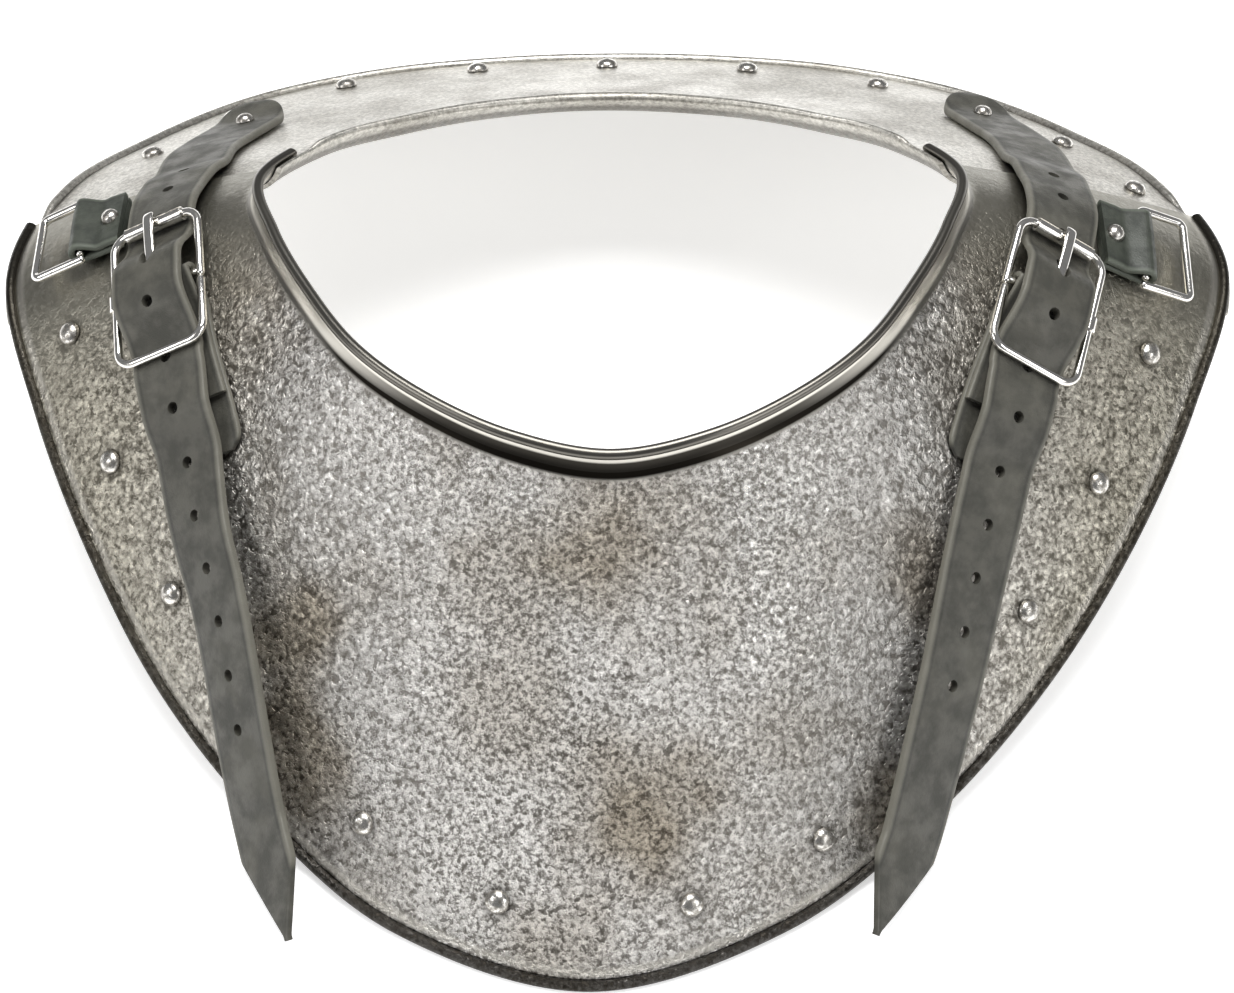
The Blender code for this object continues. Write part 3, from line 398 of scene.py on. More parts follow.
def make_back_plate():
    """The back plate. Its ends are plain sheet, without beads, where the front plate laps it."""
    first = SEAM_STATION - UNDERLAP
    stations = np.linspace(first, 360 - first, int((360 - 2 * first) / STATION_FINENESS) + 1)
    station = 180 - np.abs(stations - 180)
    covered = 1 - smooth_step(station, SEAM_STATION + 1, SEAM_STATION + 5)
    radius = BEAD_RADIUS + (WALL / 2 - BEAD_RADIUS) * covered
    reach = UNDERLAP_REACH * smooth_step(SEAM_STATION - station, 0.0, UNDERLAP * 0.6)
    plate = plate_surface("back_plate_skin", stations, -WALL - PLATE_GAP, radius, reach)
    for sign in (-1, 1):
        neck, edge, _ = form_at(sign * np.array((first - 2, RELIEF_STATION)))
        shares = np.array((-0.15, RELIEF_SHARE))[None, :, None]
        corners = (neck[:, None] + (edge - neck)[:, None] * shares)[:, :, :2]
        corners = np.stack((corners[0, 0], corners[0, 1], corners[1, 1], corners[1, 0]))
        heights = np.array((-0.01, NECK_HEIGHT * 1.3))
        prism = np.concatenate((np.repeat(corners[None], 2, axis=0),
                                np.repeat(heights[:, None, None], 4, axis=1)), axis=2)
        cut(plate, solid_from_grid("hidden_corner", prism))
    return plate


front_plate = make_front_plate()
back_plate = make_back_plate()
print("plate faces:", len(front_plate.data.polygons), len(back_plate.data.polygons))

# %% [markdown]
# ## Rivets
#
# A peened rivet is a low dome over a short shank, with a flattened tail inside. It is a turned
# shape, so a profile of radius and height is swung round an axis. Where each rivet sits is read
# from the measured model: its long axis is the one direction in which its points spread
# differently from the other two, and the head is at the broader end.

# %% Rivet surfaces
RIVET_SEGMENTS = 32


def matrix_from_axes(x, y, z, origin):
    """Matrix whose columns are three axes and an origin."""
    matrix = np.eye(4)
    matrix[:3, 0], matrix[:3, 1], matrix[:3, 2], matrix[:3, 3] = x, y, z, origin
    return matrix


def through(matrix, points):
    """Points moved by a matrix."""
    return points @ matrix[:3, :3].T + matrix[:3, 3]


def rivet_place(node):
    """Matrix with Z along the rivet's axis, towards its head, from its points' spread."""
    points = np.array([vertex.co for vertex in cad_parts[node].data.vertices])
    points = np.unique(np.round(points, 7), axis=0)
    middle = points.mean(axis=0)
    spread, axes = np.linalg.eigh(np.cov((points - middle).T))
    lonely = 0 if spread[1] - spread[0] > spread[2] - spread[1] else 2
    axis = axes[:, lonely]
    along = (points - middle) @ axis
    off = np.linalg.norm(points - middle - along[:, None] * axis, axis=1)
    if along[off.argmax()] < 0:
        axis, along = -axis, -along
    side = unit(np.cross(axis, (0.0, 1.0, 0.3)))
    seat = along[off > off.max() * 0.97].mean()
    return (matrix_from_axes(side, np.cross(axis, side), axis, middle + axis * seat),
            off.max(), along.max() - seat, seat - along.min())


def turned_surface(name, profile, matrix, segments):
    """Profile of (radius, height) swung round Z: x = r cos a, y = r sin a, z = height."""
    profile = np.asarray(profile, float)
    angles = np.linspace(0, 2 * math.pi, segments, endpoint=False)
    radius = profile[:, :1]
    grid = np.stack((radius * np.cos(angles), radius * np.sin(angles),
                     np.repeat(profile[:, 1:], segments, axis=1)), axis=-1)
    return solid_from_grid(name, through(matrix, grid))


def make_rivet(node):
    """A domed head with a soft rim, the shank, and a hammered tail inside the plate."""
    matrix, radius, dome, depth = rivet_place(node)
    angles = np.linspace(math.pi / 2, 0.12, 9)
    head = np.column_stack((radius * np.cos(angles)**0.92, dome * np.sin(angles)))
    head[0, 0] = 0.0
    shank = radius * 0.43
    tail = radius * 0.72
    rest = ((radius, 0.0), (radius * 0.96, -0.00010), (shank, -0.00010),
            (shank, -depth + 0.0007), (tail, -depth + 0.0006), (tail, -depth + 0.0002),
            (tail * 0.8, -depth), (0.0, -depth))
    piece = turned_surface(f"{node}_turned", np.vstack((head, rest)), matrix, RIVET_SEGMENTS)
    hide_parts(node)
    return piece


rivets = [make_rivet(node) for node in sorted(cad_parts) if "rivet" in node]
print("rivets:", len(rivets))

# %% [markdown]
# ## Where each strap runs
#
# A strap is riveted to the back plate, climbs the shoulder, passes through its buckle and hangs
# down the front. Its middle line is given by stations and by shares of the section from neck to
# edge, which keeps it on the plate whatever the plate's form. Its height over the plate follows
# what it crosses, in level steps that are joined smoothly.

# %% Sizes of the leather and of the buckles
STRAP_WIDTH = 0.0186
STRAP_THICKNESS = 0.0020
LIGHT_LEATHER = 0.0015
HOLE_PITCH = 0.0122
HOLE_RADIUS = 0.0014
TONGUE_SLOT = 0.0064
STRAP_RIVET_RADIUS = 0.0023
POINT_LENGTH = 0.0210
TAIL_LENGTH = 0.0320
TAIL_CLEARANCE = 0.0012
ROOT_CURL = 0.0030
SEAM_RISE = 0.0130
LEVEL_RUN = 0.0120
STRAP_FLOAT = 0.0030
BUCKLE_STRAP_WIDTH = 0.0180
BUCKLE_STRAP_LENGTH = 0.0410
BUCKLE_STRAP_FOLD = 0.0285
BUCKLE_STRAP_RIVET = 0.0245
BUCKLE_STRAP_OFFSET = 0.0010
BUCKLE_STRAP_DRIFT = 0.0030
TAB_WIDTH = 0.0185
TAB_LENGTH = 0.0108
WIRE_RADIUS = 0.0010
BUCKLE_INSIDE = 0.0215
BUCKLE_LENGTH = 0.0350
BUCKLE_CORNER = 0.0040
BUTT_GAP = 0.0016
FOOT_CLEARANCE = 0.0020
ROLLER_SHEET = 0.0004
TONGUE_WIDTH = 0.0026
TONGUE_THICKNESS = 0.0014
EYE_RADIUS = 0.0016
EYE_LENGTH = 0.0040
TONGUE_CROSSING = 0.0019
RING_WIDTH = 0.0125
RING_LENGTH = 0.0220
RING_CORNER = 0.0018
SEAT_FRONT = GAP
SEAT_BACK = GAP - WALL - PLATE_GAP
FOLD_RADIUS = WIRE_RADIUS + GAP + LIGHT_LEATHER
STACK = 2 * LIGHT_LEATHER + 3 * GAP
RIVET_TAIL = 0.0007
ROLLER_RADIUS = WIRE_RADIUS + GAP + ROLLER_SHEET
ROLLER_HEIGHT = STACK + GAP + ROLLER_RADIUS
FOOT_BAR_HEIGHT = STACK + STRAP_THICKNESS + FOOT_CLEARANCE + WIRE_RADIUS

RIGHT_ROUTE = np.array((
    (127, 0.715, 0), (121, 0.660, 0), (115, 0.608, 0), (108.7, 0.546, 0), (100.9, 0.450, 0),
    (94, 0.395, 0), (85.8, 0.369, 0), (80.5, 0.389, 0), (75.2, 0.414, 0), (69.5, 0.433, 0),
    (64, 0.464, 0), (58.8, 0.502, 1), (53.9, 0.549, 4), (48.5, 0.601, 9), (43.2, 0.653, 12),
    (39, 0.722, 13), (35.5, 0.801, 13), (32.3, 0.881, 13), (29.4, 0.960, 13),
))
LEFT_ROUTE = np.array((
    (128, 0.778, 0), (124.5, 0.742, 0), (117, 0.671, 0), (109.8, 0.594, 0), (101, 0.485, 0),
    (95, 0.411, 0), (89, 0.366, 0), (81.7, 0.357, 0), (75.4, 0.363, 0), (69.1, 0.374, 0),
    (62.5, 0.390, 0), (56.6, 0.425, 0), (51.8, 0.471, 0), (46.7, 0.531, 0), (42, 0.599, 2),
    (37.8, 0.679, 4), (33.9, 0.767, 6), (30.1, 0.863, 8), (26.6, 0.965, 8),
))
SIDES = (
    {"name": "right", "sign": -1, "route": RIGHT_ROUTE, "roller": 85.8, "tail": 1.0,
     "holes": (-3, 9), "ring": (91.0, 0.679)},
    {"name": "left", "sign": 1, "route": LEFT_ROUTE, "roller": 81.7, "tail": 0.835,
     "holes": (-3, 8), "ring": (87.0, 0.652)},
)


# %% Routes
class Route:
    """A strap's base line on the plates, evenly indexed by its arc length from the root.

    Columns of rows: point (3), normal (3), station and turn in degrees.
    """

    def __init__(self, side):
        table = side["route"]
        points, normals = on_plate(side["sign"] * table[:, 0], table[:, 1])
        rows = np.column_stack((points, normals, table[:, 0], table[:, 2]))
        rows = np.vstack((2 * rows[0] - rows[1], rows, 2 * rows[-1] - rows[-2]))
        self.rows = smooth_rows(rows, np.linspace(0, len(rows) - 3, 800))
        steps = np.linalg.norm(np.diff(self.rows[:, :3], axis=0), axis=1)
        self.arc = np.concatenate(((0.0,), np.cumsum(steps)))
        self.sign = side["sign"]
        self.edge = self.arc[-1]
        self.length = self.edge + side["tail"] * TAIL_LENGTH

    def at_station(self, station):
        """Arc length where the line crosses a station."""
        return float(np.interp(-station, -self.rows[:, 6], self.arc))

    def base(self, arcs):
        """Rows at some arc lengths, held at the plate's edge past it."""
        arcs = np.minimum(np.atleast_1d(arcs), self.edge)
        return np.stack([np.interp(arcs, self.arc, column) for column in self.rows.T], axis=-1)

    def frame(self, arcs):
        """Points, directions towards the tail, and normals square to them."""
        arcs = np.minimum(np.atleast_1d(arcs), self.edge)
        rows = self.base(arcs)
        along = unit(self.base(arcs + 0.001)[:, :3] - self.base(arcs - 0.001)[:, :3])
        square = (rows[:, 3:6] * along).sum(axis=1, keepdims=True)
        return rows[:, :3], along, unit(rows[:, 3:6] - along * square)


def eased(knots, places):
    """Heights through the knots, joined by smooth steps."""
    at, height = np.array(knots).T
    index = np.clip(np.searchsorted(at, places, side="right") - 1, 0, len(at) - 2)
    return height[index] + (height[index + 1] - height[index]) * smooth_step(
        places, at[index], at[index + 1])


# %% [markdown]
# ## The buckle's own frame
#
# The roller lies on the folded leather, and the foot bar lies on top of the strap, so the whole
# buckle tips a little. Its matrix has Y towards the roller and Z off the plate, and everything
# that touches the buckle is then placed in that frame.

# %% Buckle frame and strap heights
def buckle_matrix(route, roller):
    """Matrix at the middle of the centre bar, from the roller's place and the foot bar's."""
    (top, foot), _, normals = route.frame(np.array((roller, roller + BUCKLE_LENGTH)))
    top = top + normals[0] * ROLLER_HEIGHT
    foot = foot + normals[1] * FOOT_BAR_HEIGHT
    z = unit(normals.sum(axis=0))
    x = unit(np.cross(top - foot, z))
    return matrix_from_axes(x, np.cross(z, x), z, (top + foot) / 2)


def strap_heights(route, roller, buckle):
    """Knots (arc length, height of the strap's underside) along one route."""
    centre = roller + BUCKLE_LENGTH / 2

    def level(y, z):
        point, _, normal = route.frame(centre - y)
        target = through(buckle, np.array((0.0, y, z)))
        up = buckle[:3, 2]
        return centre - y, float(((target - point[0]) @ up) / (normal[0] @ up))

    seam = route.at_station(SEAM_STATION)
    half = BUCKLE_LENGTH / 2
    rest = STRAP_THICKNESS + GAP
    over_rivet = STACK + RIVET_TAIL + 3 * GAP
    strap_end = centre + BUCKLE_STRAP_LENGTH
    return (
        (0.0, SEAT_BACK + ROOT_CURL),
        (STRAP_WIDTH * 0.5, SEAT_BACK),
        (seam - SEAM_RISE, SEAT_BACK),
        (seam + SEAM_RISE * 0.08, SEAT_FRONT + GAP * 1.33),
        level(half + ROLLER_RADIUS * 1.06, -ROLLER_RADIUS - rest),
        level(half - ROLLER_RADIUS * 1.06, -ROLLER_RADIUS - rest),
        level(FOLD_RADIUS * 1.5, FOLD_RADIUS + GAP),
        level(-FOLD_RADIUS * 0.8, FOLD_RADIUS + GAP),
        level(-half + WIRE_RADIUS * 1.3, -WIRE_RADIUS - rest),
        level(-half - WIRE_RADIUS * 1.3, -WIRE_RADIUS - rest),
        (centre + BUCKLE_STRAP_RIVET - STRAP_RIVET_RADIUS * 1.22, over_rivet),
        (centre + BUCKLE_STRAP_FOLD, over_rivet),
        (strap_end, LIGHT_LEATHER + 3 * GAP),
        (strap_end + LEVEL_RUN, STRAP_FLOAT * 0.8),
        (route.edge - LEVEL_RUN * 2.5, STRAP_FLOAT),
        (route.edge, STRAP_FLOAT * 1.2),
    )


def strap_sections(route, knots, buckle, arcs):
    """Middle of the underside, width direction and face normal at some arc lengths."""
    arcs = np.atleast_1d(arcs).astype(float)
    points, along, normals = route.frame(arcs)
    turn = np.radians(route.base(arcs)[:, 7])[:, None]
    across = np.cross(along, normals) * route.sign
    lift = eased(knots, arcs)[:, None] + np.sin(turn) * STRAP_WIDTH / 2
    middle = points + normals * lift
    before, after = knots[4][0], knots[9][0]
    held = (smooth_step(arcs, before - LEVEL_RUN, before)
            * (1 - smooth_step(arcs, after, after + LEVEL_RUN)))[:, None]
    bar = buckle[:3, 0] * np.sign(across @ buckle[:3, 0])[:, None]
    width = unit(across * (1 - held) + bar * held)
    normal = np.cross(width, along)
    normal = unit(normal * np.sign(normal[:, 2:]))
    face = unit(normal * np.cos(turn) - width * np.sin(turn))
    width = unit(width * np.cos(turn) + normal * np.sin(turn))
    past = np.maximum(arcs - route.edge, 0.0)[:, None]
    reach = route.length - route.edge
    lowest = TAIL_CLEARANCE + np.abs(width[:, 2:]) * STRAP_WIDTH / 2 * past / reach
    fall = np.minimum((middle[:, 2:] - lowest) / reach, 1.0)
    level = unit(along * np.array((1.0, 1.0, 0.0)))
    hang = level * np.sqrt(1 - fall**2) - fall * np.array((0.0, 0.0, 1.0))
    return middle + np.where(past > 0, hang * past, 0.0), width, face


# %% [markdown]
# ## Leather straps
#
# Strap leather is cut from a hide, its edges are bevelled with a small tool, and holes are
# punched at an even pitch. The section is a rectangle with rounded corners whose top is a touch
# crowned. The holes are real: cylinders are taken out of the strap with a Boolean, so light and
# the steel beneath show through them.

# %% Strap surfaces
EDGE_ROUND = 0.00055
CROWN = 0.00012
STRAP_STEP = 0.0008


def strap_profile(half, thickness, across_steps=7, corner_steps=4):
    """Rounded rectangle (row, point, 2) for each half width: width and height from the base."""
    half = np.asarray(half, float)[:, None]
    corner = np.minimum(EDGE_ROUND, half * 0.8)
    t = np.linspace(0, math.pi / 2, corner_steps + 1)[None, :]
    flat = np.linspace(1, -1, across_steps + 2)[None, 1:-1]
    right, left = half - corner, corner - half
    crown = CROWN * (1 - flat**2) * smooth_step(half, 0.002, 0.006)
    parts = (
        (right + corner * np.sin(t), corner - corner * np.cos(t)),
        (right + corner * np.cos(t), thickness - corner + corner * np.sin(t)),
        (right * flat, thickness + crown),
        (left - corner * np.sin(t), thickness - corner + corner * np.cos(t)),
        (left - corner * np.cos(t), corner - corner * np.sin(t)),
        (left * flat, 0 * half * flat),
    )
    return np.concatenate([np.stack(np.broadcast_arrays(u, h), axis=-1) for u, h in parts],
                          axis=1)


def leather_surface(name, middle, width, face, half, thickness, arcs):
    """The profile carried along a path: middle + width * u + face * h."""
    profile = strap_profile(half, thickness)
    grid = (middle[:, None] + width[:, None] * profile[..., :1]
            + face[:, None] * profile[..., 1:])
    uv = np.stack((profile[..., 0], np.repeat(arcs[:, None], profile.shape[1], axis=1)), axis=-1)
    return solid_from_grid(name, grid, uv=uv, angle=60.0)


def strap_half_width(route, arcs):
    """Half the width: a half circle at the root, a straight taper at the pointed tail."""
    half = STRAP_WIDTH / 2
    root = np.sqrt(np.maximum(0.0, half**2 - np.maximum(half - arcs, 0.0)**2))
    tail = half * (route.length - arcs) / POINT_LENGTH
    return np.clip(np.minimum(root, tail), half * 0.05, half)


def punch(name, matrices, radius, half_depth, stretch=1.0):
    """One cutter mesh of cylinders, each about its matrix's Z, drawn out along Y."""
    angles = np.linspace(0, 2 * math.pi, 24, endpoint=False)
    circle = np.column_stack((np.cos(angles) * radius,
                              np.clip(np.sin(angles) * stretch, -stretch, stretch) * radius))
    build = bmesh.new()
    for matrix in matrices:
        rows = [through(matrix, np.column_stack((circle, np.full(len(circle), height))))
                for height in (-half_depth, half_depth)]
        low, high = ([build.verts.new(point) for point in row] for row in rows)
        for k in range(len(low)):
            n = (k + 1) % len(low)
            build.faces.new((low[k], low[n], high[n], high[k]))
        build.faces.new(low[::-1])
        build.faces.new(high)
    mesh = bpy.data.meshes.new(name)
    build.to_mesh(mesh)
    build.free()
    tidy_mesh(mesh)
    piece = bpy.data.objects.new(name, mesh)
    bpy.context.scene.collection.objects.link(piece)
    return piece


def make_strap(side, route, roller, buckle):
    """The long perforated strap, from its round root to its pointed tail."""
    knots = strap_heights(route, roller, buckle)
    half = STRAP_WIDTH / 2
    root = half * (1 - np.cos(np.linspace(0.0, math.pi / 2, 14)))
    body = np.arange(half + STRAP_STEP, route.length - STRAP_STEP, STRAP_STEP)
    arcs = np.concatenate((root, body, (route.length,)))
    middle, width, face = strap_sections(route, knots, buckle, arcs)
    strap = leather_surface(f"strap_{side['name']}_hide", middle, width, face,
                            strap_half_width(route, arcs), STRAP_THICKNESS, arcs)
    search = roller + BUCKLE_LENGTH * np.linspace(0.115, 0.37, 37)
    under = strap_sections(route, knots, buckle, search)[0] - buckle[:3, 3]
    first = search[np.abs(under @ buckle[:3, 2] - TONGUE_CROSSING).argmin()]
    low, high = side["holes"]
    places = first + HOLE_PITCH * np.arange(low, high + 1)
    middle, width, face = strap_sections(route, knots, buckle, places)
    along = np.cross(face, width)
    middle = middle + face * STRAP_THICKNESS / 2
    matrices = [matrix_from_axes(*axes) for axes in zip(width, along, face, middle)]
    slot = matrices.pop(-low)
    cut(strap, punch("holes", matrices, HOLE_RADIUS, STRAP_THICKNESS * 1.5))
    cut(strap, punch("slot", [slot], TONGUE_WIDTH / 2 + 2 * GAP, STRAP_THICKNESS * 1.5,
                     TONGUE_SLOT / (TONGUE_WIDTH + 4 * GAP)))
    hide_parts(f"strap_{side['name']}")
    return strap


# %% [markdown]
# ## Bent wire
#
# The buckle frames and the side rings are bent from round wire. A circle is carried along the
# wire's middle line. At an open end the circle shrinks like a quarter of a ball, which gives
# the rounded end of a cut and tumbled wire.

# %% Wire surfaces
WIRE_SEGMENTS = 20


def rounded_path(corners, radius, steps=8, closed=False):
    """Straight runs between corner points with a circular bend at each of them."""
    corners = np.asarray(corners, float)
    path = []
    count = len(corners)
    for k in range(count):
        here = corners[k]
        if not closed and k in (0, count - 1):
            path.append(here[None])
            continue
        back = unit(corners[k - 1] - here)
        ahead = unit(corners[(k + 1) % count] - here)
        half = math.acos(float(np.clip(back @ ahead, -1, 1))) / 2
        middle = here + unit(back + ahead) * radius / math.sin(half)
        start = here + back * radius / math.tan(half) - middle
        end = here + ahead * radius / math.tan(half) - middle
        t = np.linspace(0, 1, steps + 1)[:, None]
        path.append(middle + unit(start * (1 - t) + end * t) * radius)
    return np.vstack(path)


def wire_surface(name, path, radius, matrix, closed=False):
    """Circle carried along a path that lies in the XY plane, with rounded open ends."""
    path = np.asarray(path, float)
    radii = np.full(len(path), radius)
    if closed:
        along = unit(np.roll(path, -1, axis=0) - np.roll(path, 1, axis=0))
    else:
        along = unit(np.gradient(path, axis=0))
        t = np.linspace(0.0, math.pi / 2, 6)[1:]
        first = path[0] - along[0] * radius * np.sin(t)[::-1, None]
        last = path[-1] + along[-1] * radius * np.sin(t)[:, None]
        radii = np.concatenate((radius * np.cos(t)[::-1], radii, radius * np.cos(t)))
        along = np.vstack((np.repeat(along[:1], 5, axis=0), along,
                           np.repeat(along[-1:], 5, axis=0)))
        path = np.vstack((first, path, last))
    side = unit(np.cross(along, (0.0, 0.0, 1.0)))
    angles = np.linspace(0, 2 * math.pi, WIRE_SEGMENTS, endpoint=False)
    circle = (np.cos(angles)[None, :, None] * side[:, None]
              + np.sin(angles)[None, :, None] * np.array((0.0, 0.0, 1.0)))
    grid = path[:, None] + circle * radii[:, None, None]
    return solid_from_grid(name, through(matrix, grid), ring=closed)


# %% [markdown]
# ## Buckles
#
# Each buckle is a wire rectangle whose ends meet beside the centre bar. The centre bar is a
# second wire with an eye curled round the frame. A tube of thin sheet, open along a seam, rolls
# on the upper bar. The tongue is a flattened wire curled round the centre bar.

# %% Buckle surfaces
def make_buckle(side, buckle):
    """Frame with its centre bar, roller and tongue, in the buckle's own matrix."""
    name = side["name"]
    neck = -side["sign"]
    half_width = BUCKLE_INSIDE / 2 + WIRE_RADIUS
    half_length = BUCKLE_LENGTH / 2
    corners = np.array(((1, 0), (1, 1), (-1, 1), (-1, -1), (1, -1), (1, 0)), float)
    corners = corners * (half_width * neck, half_length)
    corners[0, 1] = -WIRE_RADIUS * 0.6
    corners[-1, 1] = -WIRE_RADIUS - BUTT_GAP
    path = np.column_stack((rounded_path(corners, BUCKLE_CORNER), np.zeros(4 * 9 + 2)))
    frame_wire = wire_surface(f"buckle_frame_{name}_wire", path, WIRE_RADIUS, buckle)
    bar_path = np.array(((-half_width, 0, 0), (half_width, 0, 0))) * (1, 1, 1)
    bar = wire_surface(f"buckle_bar_{name}_wire", bar_path, WIRE_RADIUS * 0.97, buckle)
    eye_middle = matrix_from_axes((1, 0, 0), (0, 0, 1), (0, 1, 0),
                                  (-neck * half_width, 0, 0))
    eye_profile = ((0, EYE_LENGTH / 2), (EYE_RADIUS * 0.8, EYE_LENGTH / 2),
                   (EYE_RADIUS, EYE_LENGTH / 2 - 0.0003), (EYE_RADIUS, -EYE_LENGTH / 2 + 0.0003),
                   (EYE_RADIUS * 0.8, -EYE_LENGTH / 2), (0, -EYE_LENGTH / 2))
    eye = turned_surface(f"buckle_eye_{name}_wire", eye_profile, buckle @ eye_middle, 24)

    half = half_width - BUCKLE_CORNER
    seam = math.radians(62)
    angles = np.linspace(seam + 0.14, seam + 2 * math.pi - 0.14, 30)
    bore = WIRE_RADIUS + GAP / 2
    loop = np.concatenate((ROLLER_RADIUS * np.column_stack((np.cos(angles), np.sin(angles))),
                           bore * np.column_stack((np.cos(angles), np.sin(angles)))[::-1]))
    ends = np.linspace(-half, half, 8)
    grid = np.stack((np.repeat(ends[:, None], len(loop), axis=1),
                     np.repeat(loop[None, :, 0] + half_length, len(ends), axis=0),
                     np.repeat(loop[None, :, 1], len(ends), axis=0)), axis=-1)
    roller = solid_from_grid(f"buckle_roller_{name}_sheet", through(buckle, grid), angle=35.0)

    eye_line = WIRE_RADIUS + GAP + TONGUE_THICKNESS / 2
    rest_line = ROLLER_RADIUS + GAP + TONGUE_THICKNESS / 2
    curl = np.radians(np.linspace(-20, -290, 8))
    line = np.column_stack((eye_line * np.cos(curl), eye_line * np.sin(curl)))
    line = np.vstack((line, (eye_line * 1.25, eye_line * 1.05),
                      (half_length * 0.6, rest_line * 0.96), (half_length, rest_line),
                      (half_length + ROLLER_RADIUS * 1.1, rest_line * 0.72)))
    line = np.vstack((2 * line[0] - line[1], line, 2 * line[-1] - line[-2]))
    line = smooth_rows(line, np.linspace(0, len(line) - 3, 70))
    along = unit(np.gradient(line, axis=0))
    normal = np.column_stack((-along[:, 1], along[:, 0]))
    t = np.linspace(0, 2 * math.pi, 16, endpoint=False)
    square = np.abs(np.stack((np.cos(t), np.sin(t)), axis=-1))**0.55 * np.sign(
        np.stack((np.cos(t), np.sin(t)), axis=-1))
    end = np.minimum(1.0, 0.35 + np.minimum(np.arange(70), np.arange(70)[::-1]) * 0.3)[:, None]
    over = line[:, None] + normal[:, None] * (square[None, :, 1] * end)[..., None] * (
        TONGUE_THICKNESS / 2)
    wide = square[None, :, 0] * end * TONGUE_WIDTH / 2
    tongue = solid_from_grid(f"buckle_tongue_{name}_wire",
                             through(buckle, np.concatenate((wide[..., None], over), axis=2)))
    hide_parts(f"buckle_frame_{name}")
    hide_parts(f"buckle_frame_{name}")
    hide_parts(f"buckle_frame_{name}")
    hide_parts(f"buckle_roller_{name}")
    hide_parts(f"buckle_tongue_{name}")
    return [frame_wire, bar, eye, roller, tongue]


# %% [markdown]
# ## Folded leather
#
# A short strap holds each buckle, and a short tab holds each side ring. Both are one strip of
# lighter leather that runs up, turns round a bar and comes back over itself. A smooth curve
# runs through the chosen places, and the leather's profile is carried along it.

# %% Folded strips
FOLD_FINENESS = 7


def folded_surface(name, rows, halves, matrix_free=True):
    """Leather along rows of inner point, outward normal and width direction."""
    rows = np.asarray(rows, float)
    table = np.column_stack((rows, halves))
    table = np.vstack((2 * table[0] - table[1], table, 2 * table[-1] - table[-2]))
    table = smooth_rows(table, np.linspace(0, len(table) - 3, (len(rows) - 1) * FOLD_FINENESS + 1))
    middle, face, width, half = table[:, 0:3], unit(table[:, 3:6]), table[:, 6:9], table[:, 9]
    width = unit(width - face * (width * face).sum(axis=1, keepdims=True))
    steps = np.linalg.norm(np.diff(middle, axis=0), axis=1)
    arcs = np.concatenate(((0.0,), np.cumsum(steps)))
    return leather_surface(name, middle, width, face, half, LIGHT_LEATHER, arcs)


def make_buckle_strap(side, route, roller, buckle):
    """The short strap folded round the buckle's centre bar, with a slot for the tongue."""
    name = side["name"]
    centre = roller + BUCKLE_LENGTH / 2

    def run(distances, height, face):
        distances = np.asarray(distances, float)
        points, along, normals = route.frame(centre + distances)
        across = np.cross(along, normals) * route.sign
        drift = BUCKLE_STRAP_DRIFT * smooth_step(
            distances / BUCKLE_STRAP_LENGTH, 0.244, 1.0)
        middle = points + normals * height + across * (BUCKLE_STRAP_OFFSET + drift)[:, None]
        return np.column_stack((middle, normals * face, across))

    across = buckle[:3, 0] * np.sign(buckle[:3, 0] @ run([BUCKLE_STRAP_RIVET], 0.0, 1)[0, 6:9])
    lengths = BUCKLE_STRAP_LENGTH * np.array((1.0, 0.92, 0.78, 0.63, 0.49, 0.34, 0.22, 0.15))
    lower = run(lengths, GAP + LIGHT_LEATHER, -1)
    angles = np.radians((-60, -20, 20, 60, 95))
    out = np.column_stack((0 * angles, np.cos(angles), np.sin(angles)))
    inside = WIRE_RADIUS + GAP
    bar = np.column_stack((through(buckle, out * inside) + across * BUCKLE_STRAP_OFFSET,
                           out @ buckle[:3, :3].T, np.repeat(across[None], 5, axis=0)))
    lengths = BUCKLE_STRAP_FOLD * np.array((0.316, 0.491, 0.702, 1.0))
    upper = run(lengths, GAP + LIGHT_LEATHER + GAP, 1)
    upper[0, :3] += upper[0, 3:6] * GAP * 1.33
    rows = np.vstack((lower, bar, upper))
    halves = np.full(len(rows), BUCKLE_STRAP_WIDTH / 2)
    halves[0] *= 0.72
    strip = folded_surface(f"buckle_strap_{name}_hide", rows, halves)
    reach = FOLD_RADIUS + LIGHT_LEATHER
    half, low = TONGUE_WIDTH / 2 + 2 * GAP, FOLD_RADIUS * 1.15
    corners = np.array(((-half, -low), (half, -low), (half, reach), (-half, reach)))
    prism = np.stack([np.column_stack((corners, np.full(4, z))) for z in (-reach, reach)])
    cut(strip, solid_from_grid("slot", through(buckle, prism)))
    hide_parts(f"buckle_strap_{name}")
    return strip


def ring_matrix(side):
    """Matrix at the ring's bar in the tab's fold: Y towards the neck, Z off the plate."""
    station, share = side["ring"]
    height = GAP + LIGHT_LEATHER + GAP + WIRE_RADIUS
    point, normal = on_plate(side["sign"] * station, share, height)
    point, z = point[0], normal[0]
    inward = np.cross((0.0, z[2], -z[1]), z) * -side["sign"]
    x = unit(np.cross(inward, z))
    return matrix_from_axes(x, np.cross(z, x), z, point)


